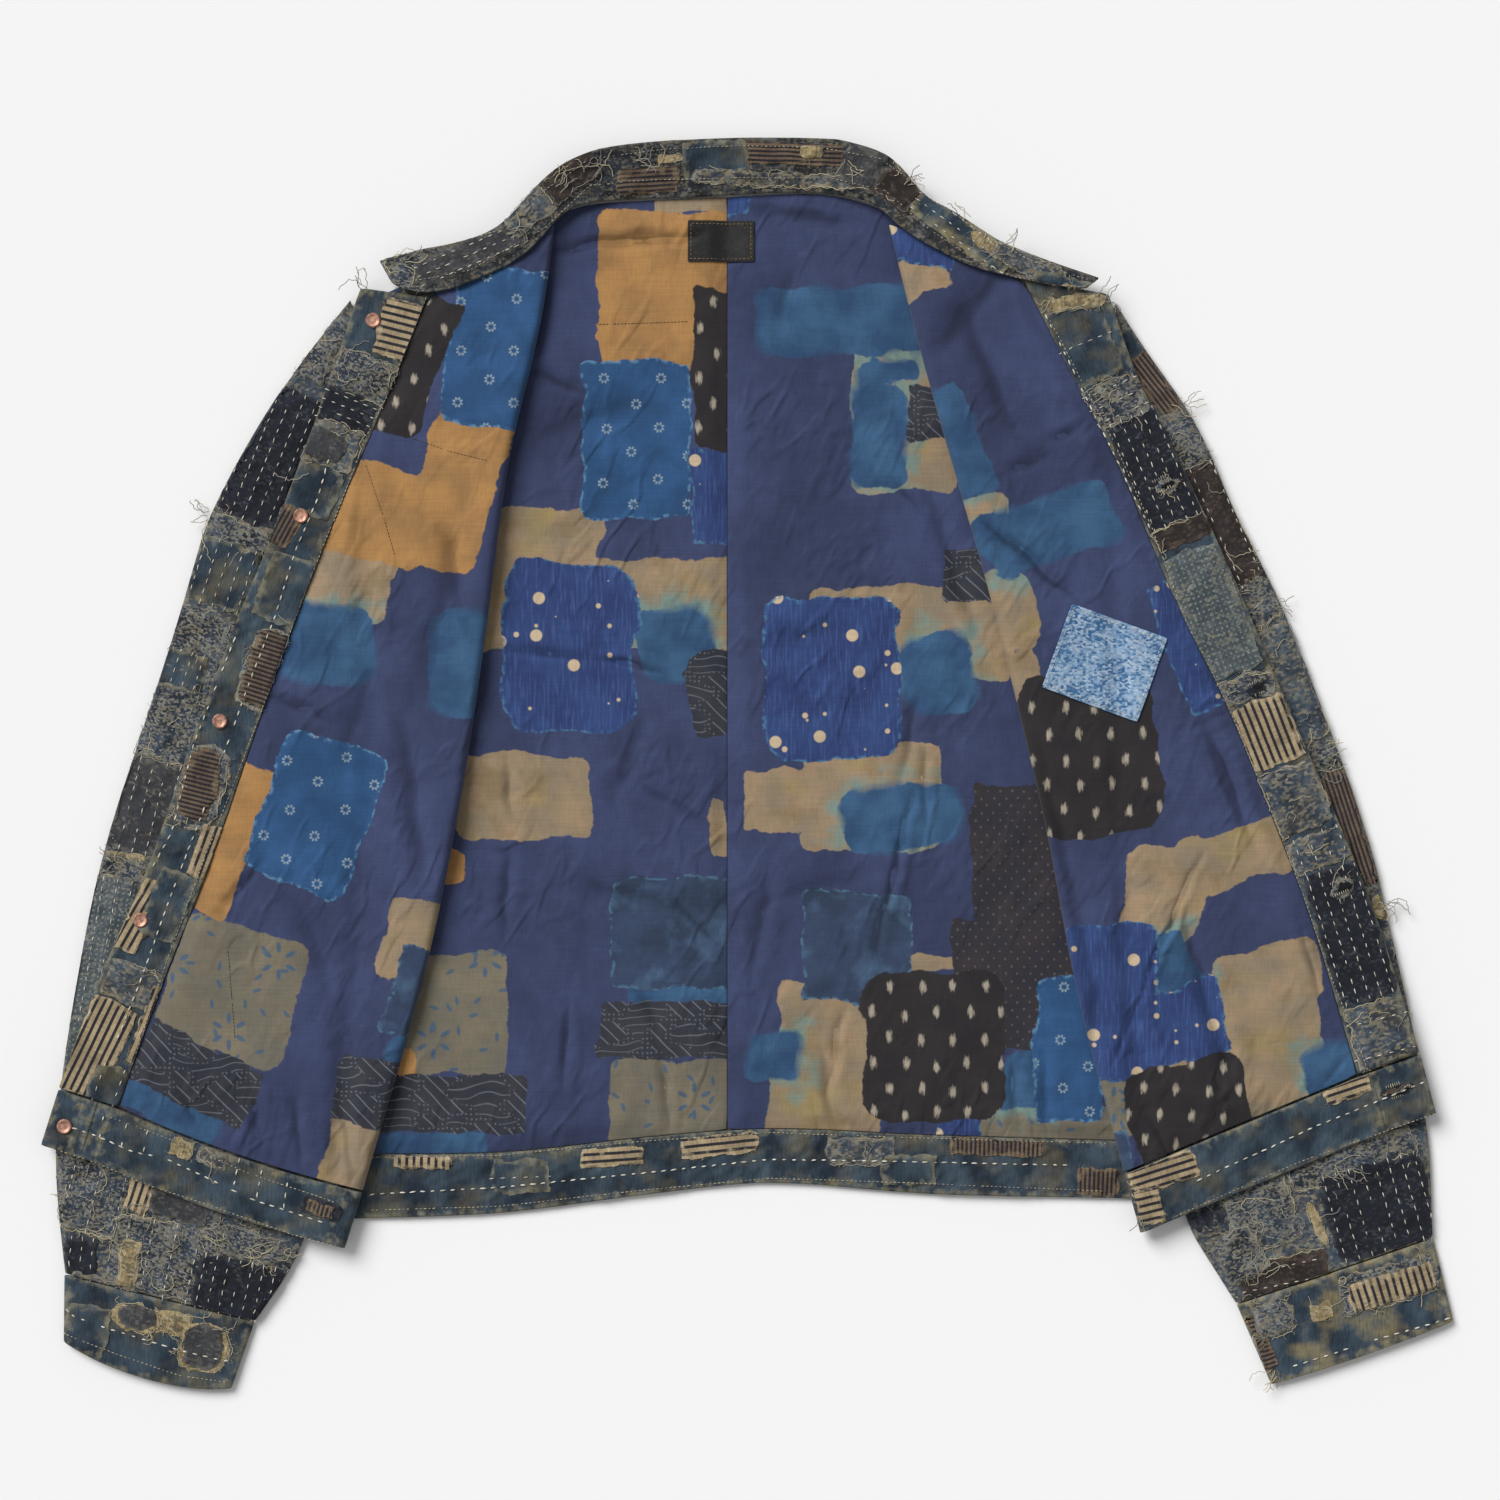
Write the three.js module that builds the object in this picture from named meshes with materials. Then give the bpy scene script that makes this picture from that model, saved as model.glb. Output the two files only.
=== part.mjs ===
// Patched boro jacket, laid on its back with both fronts turned open. Millimetres, +Z up,
// +Y towards the collar, +X to the viewer's right, underside at z = 0.
import * as THREE from "three";

// Cloth thicknesses and the air between pieces
const SHELL = 2.0;
const LINING = 1.0;
const FACING = 1.8;
const BAND = 3.4;
const COLLAR = 3.0;
const CUFF_WALL = 2.2;
const LABEL = 0.8;
const SEAM = 0.3;

// Levels of the layers that lie on the table
const BACK_LINING_Z = SHELL + SEAM;
const STRIP_Z = BACK_LINING_Z + LINING + SEAM;
const LEAF_Z = 7.7;
const SLEEVE_CROWN = 2.6;
const CUFF_AIR = 2.2;

// The turned-open fronts: the soft roll along the fold and the patches' height
const ROLL_LOFT = 5.0;
const ROLL_WIDTH = 24;
const PATCH_RISE = 0.9;
const PATCH_RAMP = 1.6;

// Seams that the pieces share
const CENTRE_SEAM_X = -12.2;
const HEM_SEAM = 0.6;

// Rough lengths of the strips and the front's reach down from the neck point
const FRONT_TOP_Y = 339;
const FRONT_LENGTH = 609;
const PLACKET_LENGTH = 540;
const FRONT_BAND_LENGTH = 200;
const SLEEVE_LENGTH = 600;
const COLLAR_LENGTH = 620;

// Tack button backs and labels
const TACK_RADIUS = 4.75;
const TACK_HEIGHT = 1.7;
const NECK_LABEL = { x: -16, y: 329, width: 42, height: 26 };
const SIDE_LABEL = { x: 225, y: 63, width: 64, height: 56, turn: -20 };

// Mottled indigo and the other cloth colours
const COLOURS = {
  shell: "#3d4a5c",
  lining: "#474a6c",
  facing: "#55616f",
  band: "#5b6570",
  collar: "#666a70",
  sleeve: "#4c5664",
  cuff: "#57626e",
  copper: "#b4774d",
  neckLabel: "#1c1b1f",
  sideLabel: "#5f7790",
};

// Shoulder and neck edge of the back, from the left shoulder tip to the right one
const SHOULDER_LINE = [
  { at: -246, y: 288 },
  { at: -118, y: 347 },
  { at: -104, y: 353 },
  { at: -12, y: 357 },
  { at: 44, y: 360 },
  { at: 68, y: 357 },
  { at: 91, y: 347 },
  { at: 228, y: 288 },
];

// Armhole and side seam down to the hem
const SIDE_SEAMS = [
  { at: 0.0, left: -246, right: 228 },
  { at: 0.28, left: -241, right: 232 },
  { at: 0.48, left: -236, right: 234 },
  { at: 0.75, left: -246, right: 243 },
  { at: 1.0, left: -257, right: 251 },
];

// Back hem band, left end to right end
const BACK_BAND = [
  { at: -257, top: -247, low: -288 },
  { at: -155, top: -246, low: -284 },
  { at: -60, top: -236, low: -272 },
  { at: 15, top: -231, low: -265 },
  { at: 115, top: -235, low: -272 },
  { at: 251, top: -239, low: -275 },
];

// Each front from neck to hem: fold line, lining border, front edge and side seam
const FRONTS = {
  left: [
    { at: 0.0, fold: [-121, 339], border: [-201, 293], edge: [-243, 299], side: [-246, 288] },
    { at: 0.14, fold: [-130, 272], border: [-225, 233], edge: [-266, 231], side: [-243, 215] },
    { at: 0.28, fold: [-149, 195], border: [-254, 166], edge: [-294, 155], side: [-241, 140] },
    { at: 0.42, fold: [-160, 112], border: [-282, 95], edge: [-323, 84], side: [-237, 60] },
    { at: 0.56, fold: [-172, 25], border: [-309, 20], edge: [-351, 8], side: [-237, -15] },
    { at: 0.7, fold: [-187, -62], border: [-337, -62], edge: [-376, -64], side: [-242, -90] },
    { at: 0.85, fold: [-207, -150], border: [-366, -135], edge: [-406, -133], side: [-249, -165] },
    { at: 1.0, fold: [-242, -270], border: [-396, -217], edge: [-433, -205], side: [-258, -262] },
  ],
  right: [
    { at: 0.0, fold: [90, 339], border: [174, 305], edge: [228, 295], side: [228, 288] },
    { at: 0.14, fold: [106, 272], border: [205, 244], edge: [247, 241], side: [230, 215] },
    { at: 0.28, fold: [127, 196], border: [236, 184], edge: [276, 183], side: [232, 140] },
    { at: 0.42, fold: [151, 114], border: [268, 106], edge: [311, 107], side: [233, 60] },
    { at: 0.56, fold: [172, 30], border: [299, 44], edge: [338, 42], side: [235, -15] },
    { at: 0.7, fold: [191, -52], border: [330, -31], edge: [371, -33], side: [239, -90] },
    { at: 0.85, fold: [208, -145], border: [356, -100], edge: [397, -99], side: [244, -165] },
    { at: 1.0, fold: [238, -258], border: [385, -197], edge: [424, -183], side: [252, -254] },
  ],
};

// Sag of the front's hem seam and the front bands' run, width and direction
const FRONT_BANDS = {
  left: { sag: 4.5, width: 36.5, runX: -0.3, runY: -0.954 },
  right: { sag: 0, width: 38.5, runX: 0.26, runY: -0.965 },
};

// Each sleeve from shoulder to cuff seam: outer and inner edge
const SLEEVES = {
  left: [
    { at: 0.0, outer: [-250, 292], inner: [-246.9, 280] },
    { at: 0.06, outer: [-272, 265], inner: [-245.4, 250] },
    { at: 0.14, outer: [-303, 221], inner: [-243.6, 205] },
    { at: 0.25, outer: [-337, 160], inner: [-241.6, 140] },
    { at: 0.38, outer: [-360, 85], inner: [-238, 60] },
    { at: 0.5, outer: [-384, 12], inner: [-240, -15] },
    { at: 0.62, outer: [-407, -60], inner: [-250, -95] },
    { at: 0.74, outer: [-422, -135], inner: [-259, -170] },
    { at: 0.85, outer: [-433, -205], inner: [-268, -245] },
    { at: 0.93, outer: [-436, -258], inner: [-280, -305] },
    { at: 1.0, outer: [-430, -322], inner: [-310, -352] },
  ],
  right: [
    { at: 0.0, outer: [233, 290], inner: [228.9, 280] },
    { at: 0.06, outer: [252, 259], inner: [230.2, 250] },
    { at: 0.14, outer: [282, 219], inner: [231.2, 205] },
    { at: 0.25, outer: [306, 163], inner: [232.8, 140] },
    { at: 0.38, outer: [339, 96], inner: [234, 60] },
    { at: 0.5, outer: [370, 16], inner: [238, -15] },
    { at: 0.62, outer: [393, -50], inner: [247, -95] },
    { at: 0.74, outer: [407, -110], inner: [255, -170] },
    { at: 0.85, outer: [422, -175], inner: [263, -238] },
    { at: 0.93, outer: [430, -235], inner: [277, -288] },
    { at: 1.0, outer: [433, -299], inner: [309, -341] },
  ],
};

// Cuffs: corners at the sleeve seam and at the opening, and how far the opening bows out
const CUFFS = {
  left: {
    bow: 9.5,
    seam: { outer: [-430.5, -322.8], inner: [-310.5, -352.8] },
    opening: { outer: [-431, -365], inner: [-325, -394.5] },
  },
  right: {
    bow: 2,
    seam: { outer: [433.3, -299.8], inner: [309.3, -341.8] },
    opening: { outer: [446, -352], inner: [331, -392] },
  },
};

// Collar from the left front end round the neck to the right front end, with its underside's height
const COLLAR_RUN = [
  { at: 0.0, inner: [-222, 300, 12.8], outer: [-231, 316, 9.0] },
  { at: 0.06, inner: [-199, 295, 12.8], outer: [-206, 323, 9.6] },
  { at: 0.14, inner: [-165, 306, 12.8], outer: [-180, 328, 10.6] },
  { at: 0.21, inner: [-139, 320, 12.8], outer: [-155, 338, 11.2] },
  { at: 0.27, inner: [-124, 336, 12.8], outer: [-138, 356, 12.0] },
  { at: 0.33, inner: [-110, 350, 9.5], outer: [-118, 376, 11.5] },
  { at: 0.4, inner: [-80, 355, 3.7], outer: [-86, 388, 8.0] },
  { at: 0.5, inner: [-30, 357, 3.7], outer: [-31, 393, 6.0] },
  { at: 0.6, inner: [25, 360, 3.7], outer: [22, 394, 6.0] },
  { at: 0.68, inner: [60, 358, 3.7], outer: [68, 391, 8.0] },
  { at: 0.74, inner: [82, 351, 9.5], outer: [96, 377, 11.5] },
  { at: 0.8, inner: [94, 339, 12.8], outer: [110, 358, 12.0] },
  { at: 0.87, inner: [119, 323, 12.8], outer: [132, 346, 11.2] },
  { at: 0.94, inner: [155, 308, 12.8], outer: [168, 324, 10.6] },
  { at: 1.0, inner: [212, 297, 12.8], outer: [222, 305, 11.4] },
];

// Largest soft folds of the cloth: middle, length, turn from +X, width and height
const BACK_FOLDS = [
  { x: -105, y: -70, length: 130, turn: 82, width: 22, height: 2.6 },
  { x: -62, y: 20, length: 90, turn: 70, width: 20, height: 1.8 },
  { x: 92, y: -55, length: 150, turn: 78, width: 20, height: 3.0 },
  { x: 140, y: -130, length: 80, turn: 75, width: 18, height: 2.0 },
  { x: 40, y: 330, length: 90, turn: 8, width: 18, height: 2.4 },
  { x: -20, y: -170, length: 120, turn: 20, width: 26, height: 1.8 },
  { x: 20, y: 170, length: 150, turn: 60, width: 28, height: 1.8 },
];
const FRONT_FOLDS = {
  left: [
    { x: -205, y: 60, length: 190, turn: 84, width: 20, height: 2.4 },
    { x: -238, y: -60, length: 130, turn: 72, width: 18, height: 2.0 },
    { x: -300, y: -150, length: 110, turn: 64, width: 20, height: 1.8 },
    { x: -190, y: 200, length: 100, turn: 70, width: 18, height: 1.6 },
  ],
  right: [
    { x: 262, y: -120, length: 150, turn: 66, width: 18, height: 2.6 },
    { x: 182, y: 128, length: 80, turn: -40, width: 16, height: 2.2 },
    { x: 300, y: -30, length: 110, turn: -70, width: 18, height: 1.8 },
    { x: 170, y: 230, length: 110, turn: -62, width: 20, height: 1.6 },
  ],
};

// Thick patches sewn on the strips, as shares of the strip's length and of its width
const FACING_PATCHES = {
  left: [
    { from: 0.07, to: 0.14, near: 0.0, far: 1.0 },
    { from: 0.16, to: 0.22, near: 0.3, far: 1.0 },
    { from: 0.32, to: 0.4, near: 0.0, far: 0.7 },
    { from: 0.42, to: 0.505, near: 0.0, far: 0.4 },
    { from: 0.6, to: 0.69, near: 0.3, far: 1.0 },
    { from: 0.7, to: 0.76, near: 0.0, far: 0.4 },
    { from: 0.84, to: 0.97, near: 0.2, far: 1.0 },
  ],
  right: [
    { from: 0.08, to: 0.14, near: 0.0, far: 0.7 },
    { from: 0.17, to: 0.3, near: 0.0, far: 1.0 },
    { from: 0.35, to: 0.48, near: 0.0, far: 0.7 },
    { from: 0.52, to: 0.6, near: 0.3, far: 1.0 },
    { from: 0.74, to: 0.88, near: 0.0, far: 1.0 },
  ],
};
const BAND_PATCHES = {
  left: [
    { from: 0.16, to: 0.26, near: 0.0, far: 1.0 },
    { from: 0.42, to: 0.55, near: 0.3, far: 1.0 },
    { from: 0.66, to: 0.78, near: 0.0, far: 0.7 },
  ],
  right: [
    { from: 0.2, to: 0.32, near: 0.0, far: 0.7 },
    { from: 0.48, to: 0.6, near: 0.3, far: 1.0 },
  ],
  back: [
    { from: 0.1, to: 0.2, near: 0.0, far: 0.7 },
    { from: 0.32, to: 0.42, near: 0.3, far: 1.0 },
    { from: 0.52, to: 0.6, near: 0.0, far: 0.7 },
    { from: 0.74, to: 0.86, near: 0.3, far: 1.0 },
  ],
};
const SLEEVE_PATCHES = {
  left: [
    { from: 0.13, to: 0.28, near: 0.0, far: 0.5 },
    { from: 0.45, to: 0.55, near: 0.0, far: 0.5 },
    { from: 0.9, to: 0.97, near: 0.5, far: 1.0 },
  ],
  right: [
    { from: 0.24, to: 0.36, near: 0.0, far: 0.5 },
    { from: 0.55, to: 0.66, near: 0.0, far: 0.5 },
    { from: 0.86, to: 0.95, near: 0.0, far: 0.7 },
  ],
};
const COLLAR_PATCHES = [
  { from: 0.1, to: 0.18, near: 0.0, far: 0.7 },
  { from: 0.38, to: 0.48, near: 0.3, far: 1.0 },
  { from: 0.66, to: 0.72, near: 0.0, far: 0.7 },
  { from: 0.84, to: 0.92, near: 0.3, far: 1.0 },
];

// Tack button places as shares of the placket's width and length, and the one on the hem band
const TACK_PLACES = [
  { across: 0.65, down: 0.04 },
  { across: 0.624, down: 0.287 },
  { across: 0.65, down: 0.534 },
  { across: 0.75, down: 0.775 },
];
const BAND_TACK = { along: 0.862, down: 0.568 };

// Smooth value of every column of a table at a place along it
function along(table, place) {
  const last = table.length - 1;
  let i = 0;
  while (i < last - 1 && place > table[i + 1].at) i++;
  const before = table[Math.max(i - 1, 0)];
  const from = table[i];
  const to = table[i + 1];
  const after = table[Math.min(i + 2, last)];
  const span = to.at - from.at;
  const t = Math.min(Math.max((place - from.at) / span, 0), 1);
  const smoothly = (column) => {
    const startSlope = ((column(to) - column(before)) / (to.at - before.at)) * span;
    const endSlope = ((column(after) - column(from)) / (after.at - from.at)) * span;
    const change = column(to) - column(from);
    const bend = 3 * change - 2 * startSlope - endSlope;
    const twist = startSlope + endSlope - 2 * change;
    return column(from) + t * (startSlope + t * (bend + t * twist));
  };
  const result = {};
  for (const key of Object.keys(from)) {
    const isPoint = Array.isArray(from[key]);
    result[key] = isPoint
      ? from[key].map((_, axis) => smoothly((row) => row[key][axis]))
      : smoothly((row) => row[key]);
  }
  return result;
}

// Straight-line value between the rows of a table
function between(table, place, key) {
  let i = 0;
  while (i < table.length - 2 && place > table[i + 1].at) i++;
  const share = (place - table[i].at) / (table[i + 1].at - table[i].at);
  return table[i][key] + share * (table[i + 1][key] - table[i][key]);
}

function mix(a, b, share) {
  return a + (b - a) * share;
}

function smooth(share) {
  const t = Math.min(Math.max(share, 0), 1);
  return t * t * (3 - 2 * t);
}

function steps(count) {
  return Array.from({ length: count + 1 }, (_, i) => i / count);
}

// Even steps with extra ones at both sides of every patch edge
function stepsWithPatches(count, patches, length) {
  const ramp = PATCH_RAMP / length;
  const edges = patches.flatMap((patch) => [patch.from, patch.from + ramp, patch.to - ramp, patch.to]);
  const clear = steps(count).filter((s) => edges.every((edge) => Math.abs(edge - s) > 2 * ramp));
  return [...clear, ...edges].sort((a, b) => a - b);
}

// Height that the sewn-on patches add at a place on a strip
function patchRise(patches, place, across) {
  const edge = 1e-4;
  const inRun = (p) => place > p.from + edge && place < p.to - edge;
  const inWidth = (p) => across > p.near - edge && across < p.far + edge;
  return patches.some((p) => inRun(p) && inWidth(p)) ? PATCH_RISE : 0;
}

// Height of the soft folds at a place
function foldRise(folds, x, y) {
  let rise = 0;
  for (const fold of folds) {
    const turn = THREE.MathUtils.degToRad(fold.turn);
    const run = (x - fold.x) * Math.cos(turn) + (y - fold.y) * Math.sin(turn);
    const off = (y - fold.y) * Math.cos(turn) - (x - fold.x) * Math.sin(turn);
    const fade = Math.exp(-((run / (fold.length / 2)) ** 2) * 1.5);
    rise += fold.height * fade * Math.exp(-((off / (fold.width / 2)) ** 2));
  }
  return rise;
}

function signedVolume(points, faces) {
  const a = new THREE.Vector3();
  let sum = 0;
  for (const [i, j, k] of faces) {
    sum += a.copy(points[i]).cross(points[j]).dot(points[k]);
  }
  return sum / 6;
}

function closedGeometry(points, faces) {
  const outward = signedVolume(points, faces) > 0;
  const ordered = outward ? faces : faces.map(([i, j, k]) => [i, k, j]);
  const geometry = new THREE.BufferGeometry();
  geometry.setFromPoints(points);
  geometry.setIndex(ordered.flat());
  geometry.computeVertexNormals();
  return geometry;
}

// Closed wall between two faces of a piece, both given at shares across and down it
function clothWall(across, down, outer, inner) {
  const columns = across.length;
  const rows = down.length;
  const faceSize = columns * rows;
  const points = [];
  for (const face of [outer, inner]) {
    for (const v of down) {
      for (const u of across) points.push(face(u, v));
    }
  }
  const faces = [];
  const quad = (a, b, c, d) => faces.push([a, b, c], [a, c, d]);
  const id = (i, j) => j * columns + i;
  for (let j = 0; j < rows - 1; j++) {
    for (let i = 0; i < columns - 1; i++) {
      quad(id(i, j), id(i, j + 1), id(i + 1, j + 1), id(i + 1, j));
      const low = faceSize;
      quad(low + id(i, j), low + id(i + 1, j), low + id(i + 1, j + 1), low + id(i, j + 1));
    }
  }
  for (let i = 0; i < columns - 1; i++) {
    const end = rows - 1;
    quad(id(i, 0), id(i + 1, 0), faceSize + id(i + 1, 0), faceSize + id(i, 0));
    quad(id(i + 1, end), id(i, end), faceSize + id(i, end), faceSize + id(i + 1, end));
  }
  for (let j = 0; j < rows - 1; j++) {
    const end = columns - 1;
    quad(id(0, j + 1), id(0, j), faceSize + id(0, j), faceSize + id(0, j + 1));
    quad(id(end, j), id(end, j + 1), faceSize + id(end, j + 1), faceSize + id(end, j));
  }
  return closedGeometry(points, faces);
}

// Closed tube wall: around runs once round it, down from end to end
function tubeWall(sides, down, outer, inner) {
  const rows = down.length;
  const points = [];
  for (const face of [outer, inner]) {
    for (const v of down) {
      for (let i = 0; i < sides; i++) points.push(face(i / sides, v));
    }
  }
  const faces = [];
  const quad = (a, b, c, d) => faces.push([a, b, c], [a, c, d]);
  const id = (face, i, j) => face * sides * rows + j * sides + (i % sides);
  for (let i = 0; i < sides; i++) {
    for (let j = 0; j < rows - 1; j++) {
      quad(id(0, i, j), id(0, i, j + 1), id(0, i + 1, j + 1), id(0, i + 1, j));
      quad(id(1, i, j), id(1, i + 1, j), id(1, i + 1, j + 1), id(1, i, j + 1));
    }
    quad(id(0, i, 0), id(0, i + 1, 0), id(1, i + 1, 0), id(1, i, 0));
    quad(id(0, i + 1, rows - 1), id(0, i, rows - 1), id(1, i, rows - 1), id(1, i + 1, rows - 1));
  }
  return closedGeometry(points, faces);
}

const jacket = new THREE.Group();
jacket.name = "boro_jacket";

function addPiece(name, geometry, colour, roughness = 0.9, metalness = 0) {
  const material = new THREE.MeshStandardMaterial({ color: colour, roughness, metalness });
  const mesh = new THREE.Mesh(geometry, material);
  mesh.name = name;
  jacket.add(mesh);
}

// A place on the back between two edges, from the shoulder and neck line down to the hem seam
function backPlace(leftEdge, rightEdge, u, v) {
  const x = mix(leftEdge(v), rightEdge(v), u);
  const top = between(SHOULDER_LINE, x, "y");
  const low = along(BACK_BAND, x).top + HEM_SEAM;
  return { x, y: mix(top, low, v) };
}

const leftSide = (v) => along(SIDE_SEAMS, v).left;
const rightSide = (v) => along(SIDE_SEAMS, v).right;

// Where the back lining shows, its folds stand up; under the fronts it lies flat
function backFoldRise(x, y) {
  const down = (FRONT_TOP_Y - y) / FRONT_LENGTH;
  const place = Math.min(Math.max(down, 0), 1);
  const clearLeft = x - along(FRONTS.left, place).fold[0];
  const clearRight = along(FRONTS.right, place).fold[0] - x;
  const clear = smooth((Math.min(clearLeft, clearRight) - 6) / 40);
  const labelX = Math.abs(x - NECK_LABEL.x) - NECK_LABEL.width / 2;
  const labelY = Math.abs(y - NECK_LABEL.y) - NECK_LABEL.height / 2;
  const seams = smooth((along(BACK_BAND, x).top - y) / -30) * smooth((345 - y) / 40);
  return foldRise(BACK_FOLDS, x, y) * clear * seams * smooth(Math.max(labelX, labelY) / 20);
}

function buildBack() {
  const shellFace = (z) => (u, v) => {
    const place = backPlace(leftSide, rightSide, u, v);
    return new THREE.Vector3(place.x, place.y, z);
  };
  addPiece("back_shell", clothWall(steps(12), steps(6), shellFace(SHELL), shellFace(0)), COLOURS.shell);

  const seamLeft = () => CENTRE_SEAM_X - SEAM / 2;
  const seamRight = () => CENTRE_SEAM_X + SEAM / 2;
  const halves = { left: [leftSide, seamLeft], right: [seamRight, rightSide] };
  for (const [side, edges] of Object.entries(halves)) {
    const face = (z) => (u, v) => {
      const place = backPlace(edges[0], edges[1], u, v);
      return new THREE.Vector3(place.x, place.y, z + backFoldRise(place.x, place.y));
    };
    const wall = clothWall(steps(10), steps(20), face(BACK_LINING_Z + LINING), face(BACK_LINING_Z));
    addPiece(`back_lining_${side}`, wall, COLOURS.lining);
  }
}

// The soft roll stands highest along the middle of the fold line
function rollLoft(v) {
  return ROLL_LOFT * smooth(v / 0.16) * mix(1, 0.62, smooth((v - 0.6) / 0.4)) + 0.4;
}

// One front's run across its width: strip to the side seam, roll, turned-open leaf, placket
class FrontRun {
  constructor(side) {
    this.rows = FRONTS[side];
    this.folds = FRONT_FOLDS[side];
    this.band = FRONT_BANDS[side];
    this.lowMiddle = STRIP_Z + LINING / 2;
  }

  row(v) {
    const r = along(this.rows, v);
    const fold = new THREE.Vector2(...r.fold);
    const border = new THREE.Vector2(...r.border);
    const edge = new THREE.Vector2(...r.edge);
    const side = new THREE.Vector2(...r.side);
    const inward = fold.clone().sub(border).normalize();
    const highMiddle = LEAF_Z + SHELL + SEAM + LINING / 2 + rollLoft(v);
    const radius = (highMiddle - this.lowMiddle) / 2;
    const centre = fold.clone().addScaledVector(inward, -radius);
    return { v, border, edge, side, inward, highMiddle, radius, centre };
  }

  // Lining's middle layer on the turned-open leaf: share 0 at the roll, 1 at its border, 2 at the edge
  leaf(row, share) {
    const from = share <= 1 ? row.centre : row.border;
    const to = share <= 1 ? row.border : row.edge;
    const place = from.clone().lerp(to, share <= 1 ? share : share - 1);
    if (share < 1) place.y -= this.band.sag * 4 * share * (1 - share) * row.v ** 3;
    const away = place.distanceTo(row.centre);
    const settle = Math.exp(-((away / ROLL_WIDTH) ** 2));
    const folds = foldRise(this.folds, place.x, place.y) * smooth(away / 30) * smooth(row.v / 0.1);
    const quiet = smooth((1 - row.v) / 0.08) * smooth((1 - share) / 0.2);
    const z = mix(row.highMiddle - rollLoft(row.v), row.highMiddle, settle) + folds * quiet;
    return { point: new THREE.Vector3(place.x, place.y, z), out: new THREE.Vector3(0, 0, 1) };
  }

  roll(row, angle) {
    const sideways = row.inward.clone().multiplyScalar(Math.cos(angle));
    const out = new THREE.Vector3(sideways.x, sideways.y, Math.sin(angle));
    const middle = (row.highMiddle + this.lowMiddle) / 2;
    const point = new THREE.Vector3(row.centre.x, row.centre.y, middle).addScaledVector(out, row.radius);
    return { point, out };
  }

  strip(row, share) {
    const place = row.side.clone().lerp(row.centre, share);
    const point = new THREE.Vector3(place.x, place.y, this.lowMiddle);
    return { point, out: new THREE.Vector3(0, 0, -1) };
  }

  // Zone 0 to 1 is the strip, 1 to 2 the roll, 2 to 3 the lining, 3 to 4 the placket
  place(u, v) {
    const row = this.row(v);
    if (u < 1) return this.strip(row, u);
    if (u < 2) return this.roll(row, (u - 1.5) * Math.PI);
    return this.leaf(row, u - 2);
  }

  face(offset) {
    return (u, v) => {
      const { point, out } = this.place(u, v);
      return point.addScaledVector(out, typeof offset === "function" ? offset(u, v) : offset);
    };
  }

  // Height of the lining's upper side above a place on the table
  liningTop(x, y) {
    let v = (FRONT_TOP_Y - y) / FRONT_LENGTH;
    let share = 0.5;
    for (let i = 0; i < 16; i++) {
      const row = this.row(Math.min(Math.max(v, 0), 1));
      share = Math.min(Math.max((x - row.centre.x) / (row.border.x - row.centre.x), 0), 1);
      v += (this.leaf(row, share).point.y - y) / FRONT_LENGTH;
    }
    return this.leaf(this.row(v), share).point.z + LINING / 2;
  }
}

const STRIP_STEPS = [0, 0.999];
const ROLL_STEPS = [1.2, 1.4, 1.6, 1.8];
const LINING_STEPS = [2, 2.1, 2.24, 2.42, 2.62, 2.82];
const LINING_END = 2.997;
const FACING_STEPS = [3, 3.3, 3.7, 4];
const HEM_END = 0.9985;

function buildFront(side) {
  const run = new FrontRun(side);
  const half = LINING / 2;
  const down = steps(16).map((v) => v * HEM_END);
  const liningAcross = [...STRIP_STEPS, ...ROLL_STEPS, ...LINING_STEPS, LINING_END];
  const lining = clothWall(liningAcross, down, run.face(half), run.face(-half));
  addPiece(`front_${side}_lining`, lining, COLOURS.lining);

  const shellOut = -half - SEAM;
  const shellAcross = [...STRIP_STEPS, ...ROLL_STEPS, ...LINING_STEPS, ...FACING_STEPS];
  const shell = clothWall(shellAcross, down, run.face(shellOut), run.face(shellOut - SHELL));
  addPiece(`front_${side}_shell`, shell, COLOURS.shell);

  const patches = FACING_PATCHES[side];
  const facingDown = stepsWithPatches(16, patches, PLACKET_LENGTH).map((v) => v * HEM_END);
  const facingTop = (u, v) => shellOut + SEAM + FACING + patchRise(patches, v / HEM_END, u - 3);
  const facing = clothWall(FACING_STEPS, facingDown, run.face(facingTop), run.face(shellOut + SEAM));
  addPiece(`front_${side}_facing`, facing, COLOURS.facing);
  buildFrontBand(side, run);
  return run;
}

// The hem band of a turned-open front follows the front's last row, moved down by its own width
function frontBandPlace(run, u, w) {
  const { point, out } = run.place(u, 1);
  const shift = HEM_SEAM + run.band.width * w;
  point.x += run.band.runX * shift;
  point.y += run.band.runY * shift;
  const raise = BAND / 2 - SHELL - SEAM - LINING / 2;
  point.addScaledVector(out, raise);
  return { point, out };
}

const BAND_TONGUE = [0.55, 0.999];
const BAND_SHARES = [0, 0.3, 0.7, 1];

function buildFrontBand(side, run) {
  const patches = BAND_PATCHES[side];
  const stretch = stepsWithPatches(12, patches, FRONT_BAND_LENGTH).slice(1).map((s) => 2 + 2 * s);
  const across = [...BAND_TONGUE, ...ROLL_STEPS, 2, ...stretch];
  const face = (sideSign) => (u, w) => {
    const { point, out } = frontBandPlace(run, u, w);
    const rise = sideSign > 0 && u > 2 ? patchRise(patches, (u - 2) / 2, w) : 0;
    return point.addScaledVector(out, sideSign * (BAND / 2) + rise);
  };
  addPiece(`hem_band_${side}`, clothWall(across, BAND_SHARES, face(1), face(-1)), COLOURS.band);
}

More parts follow.
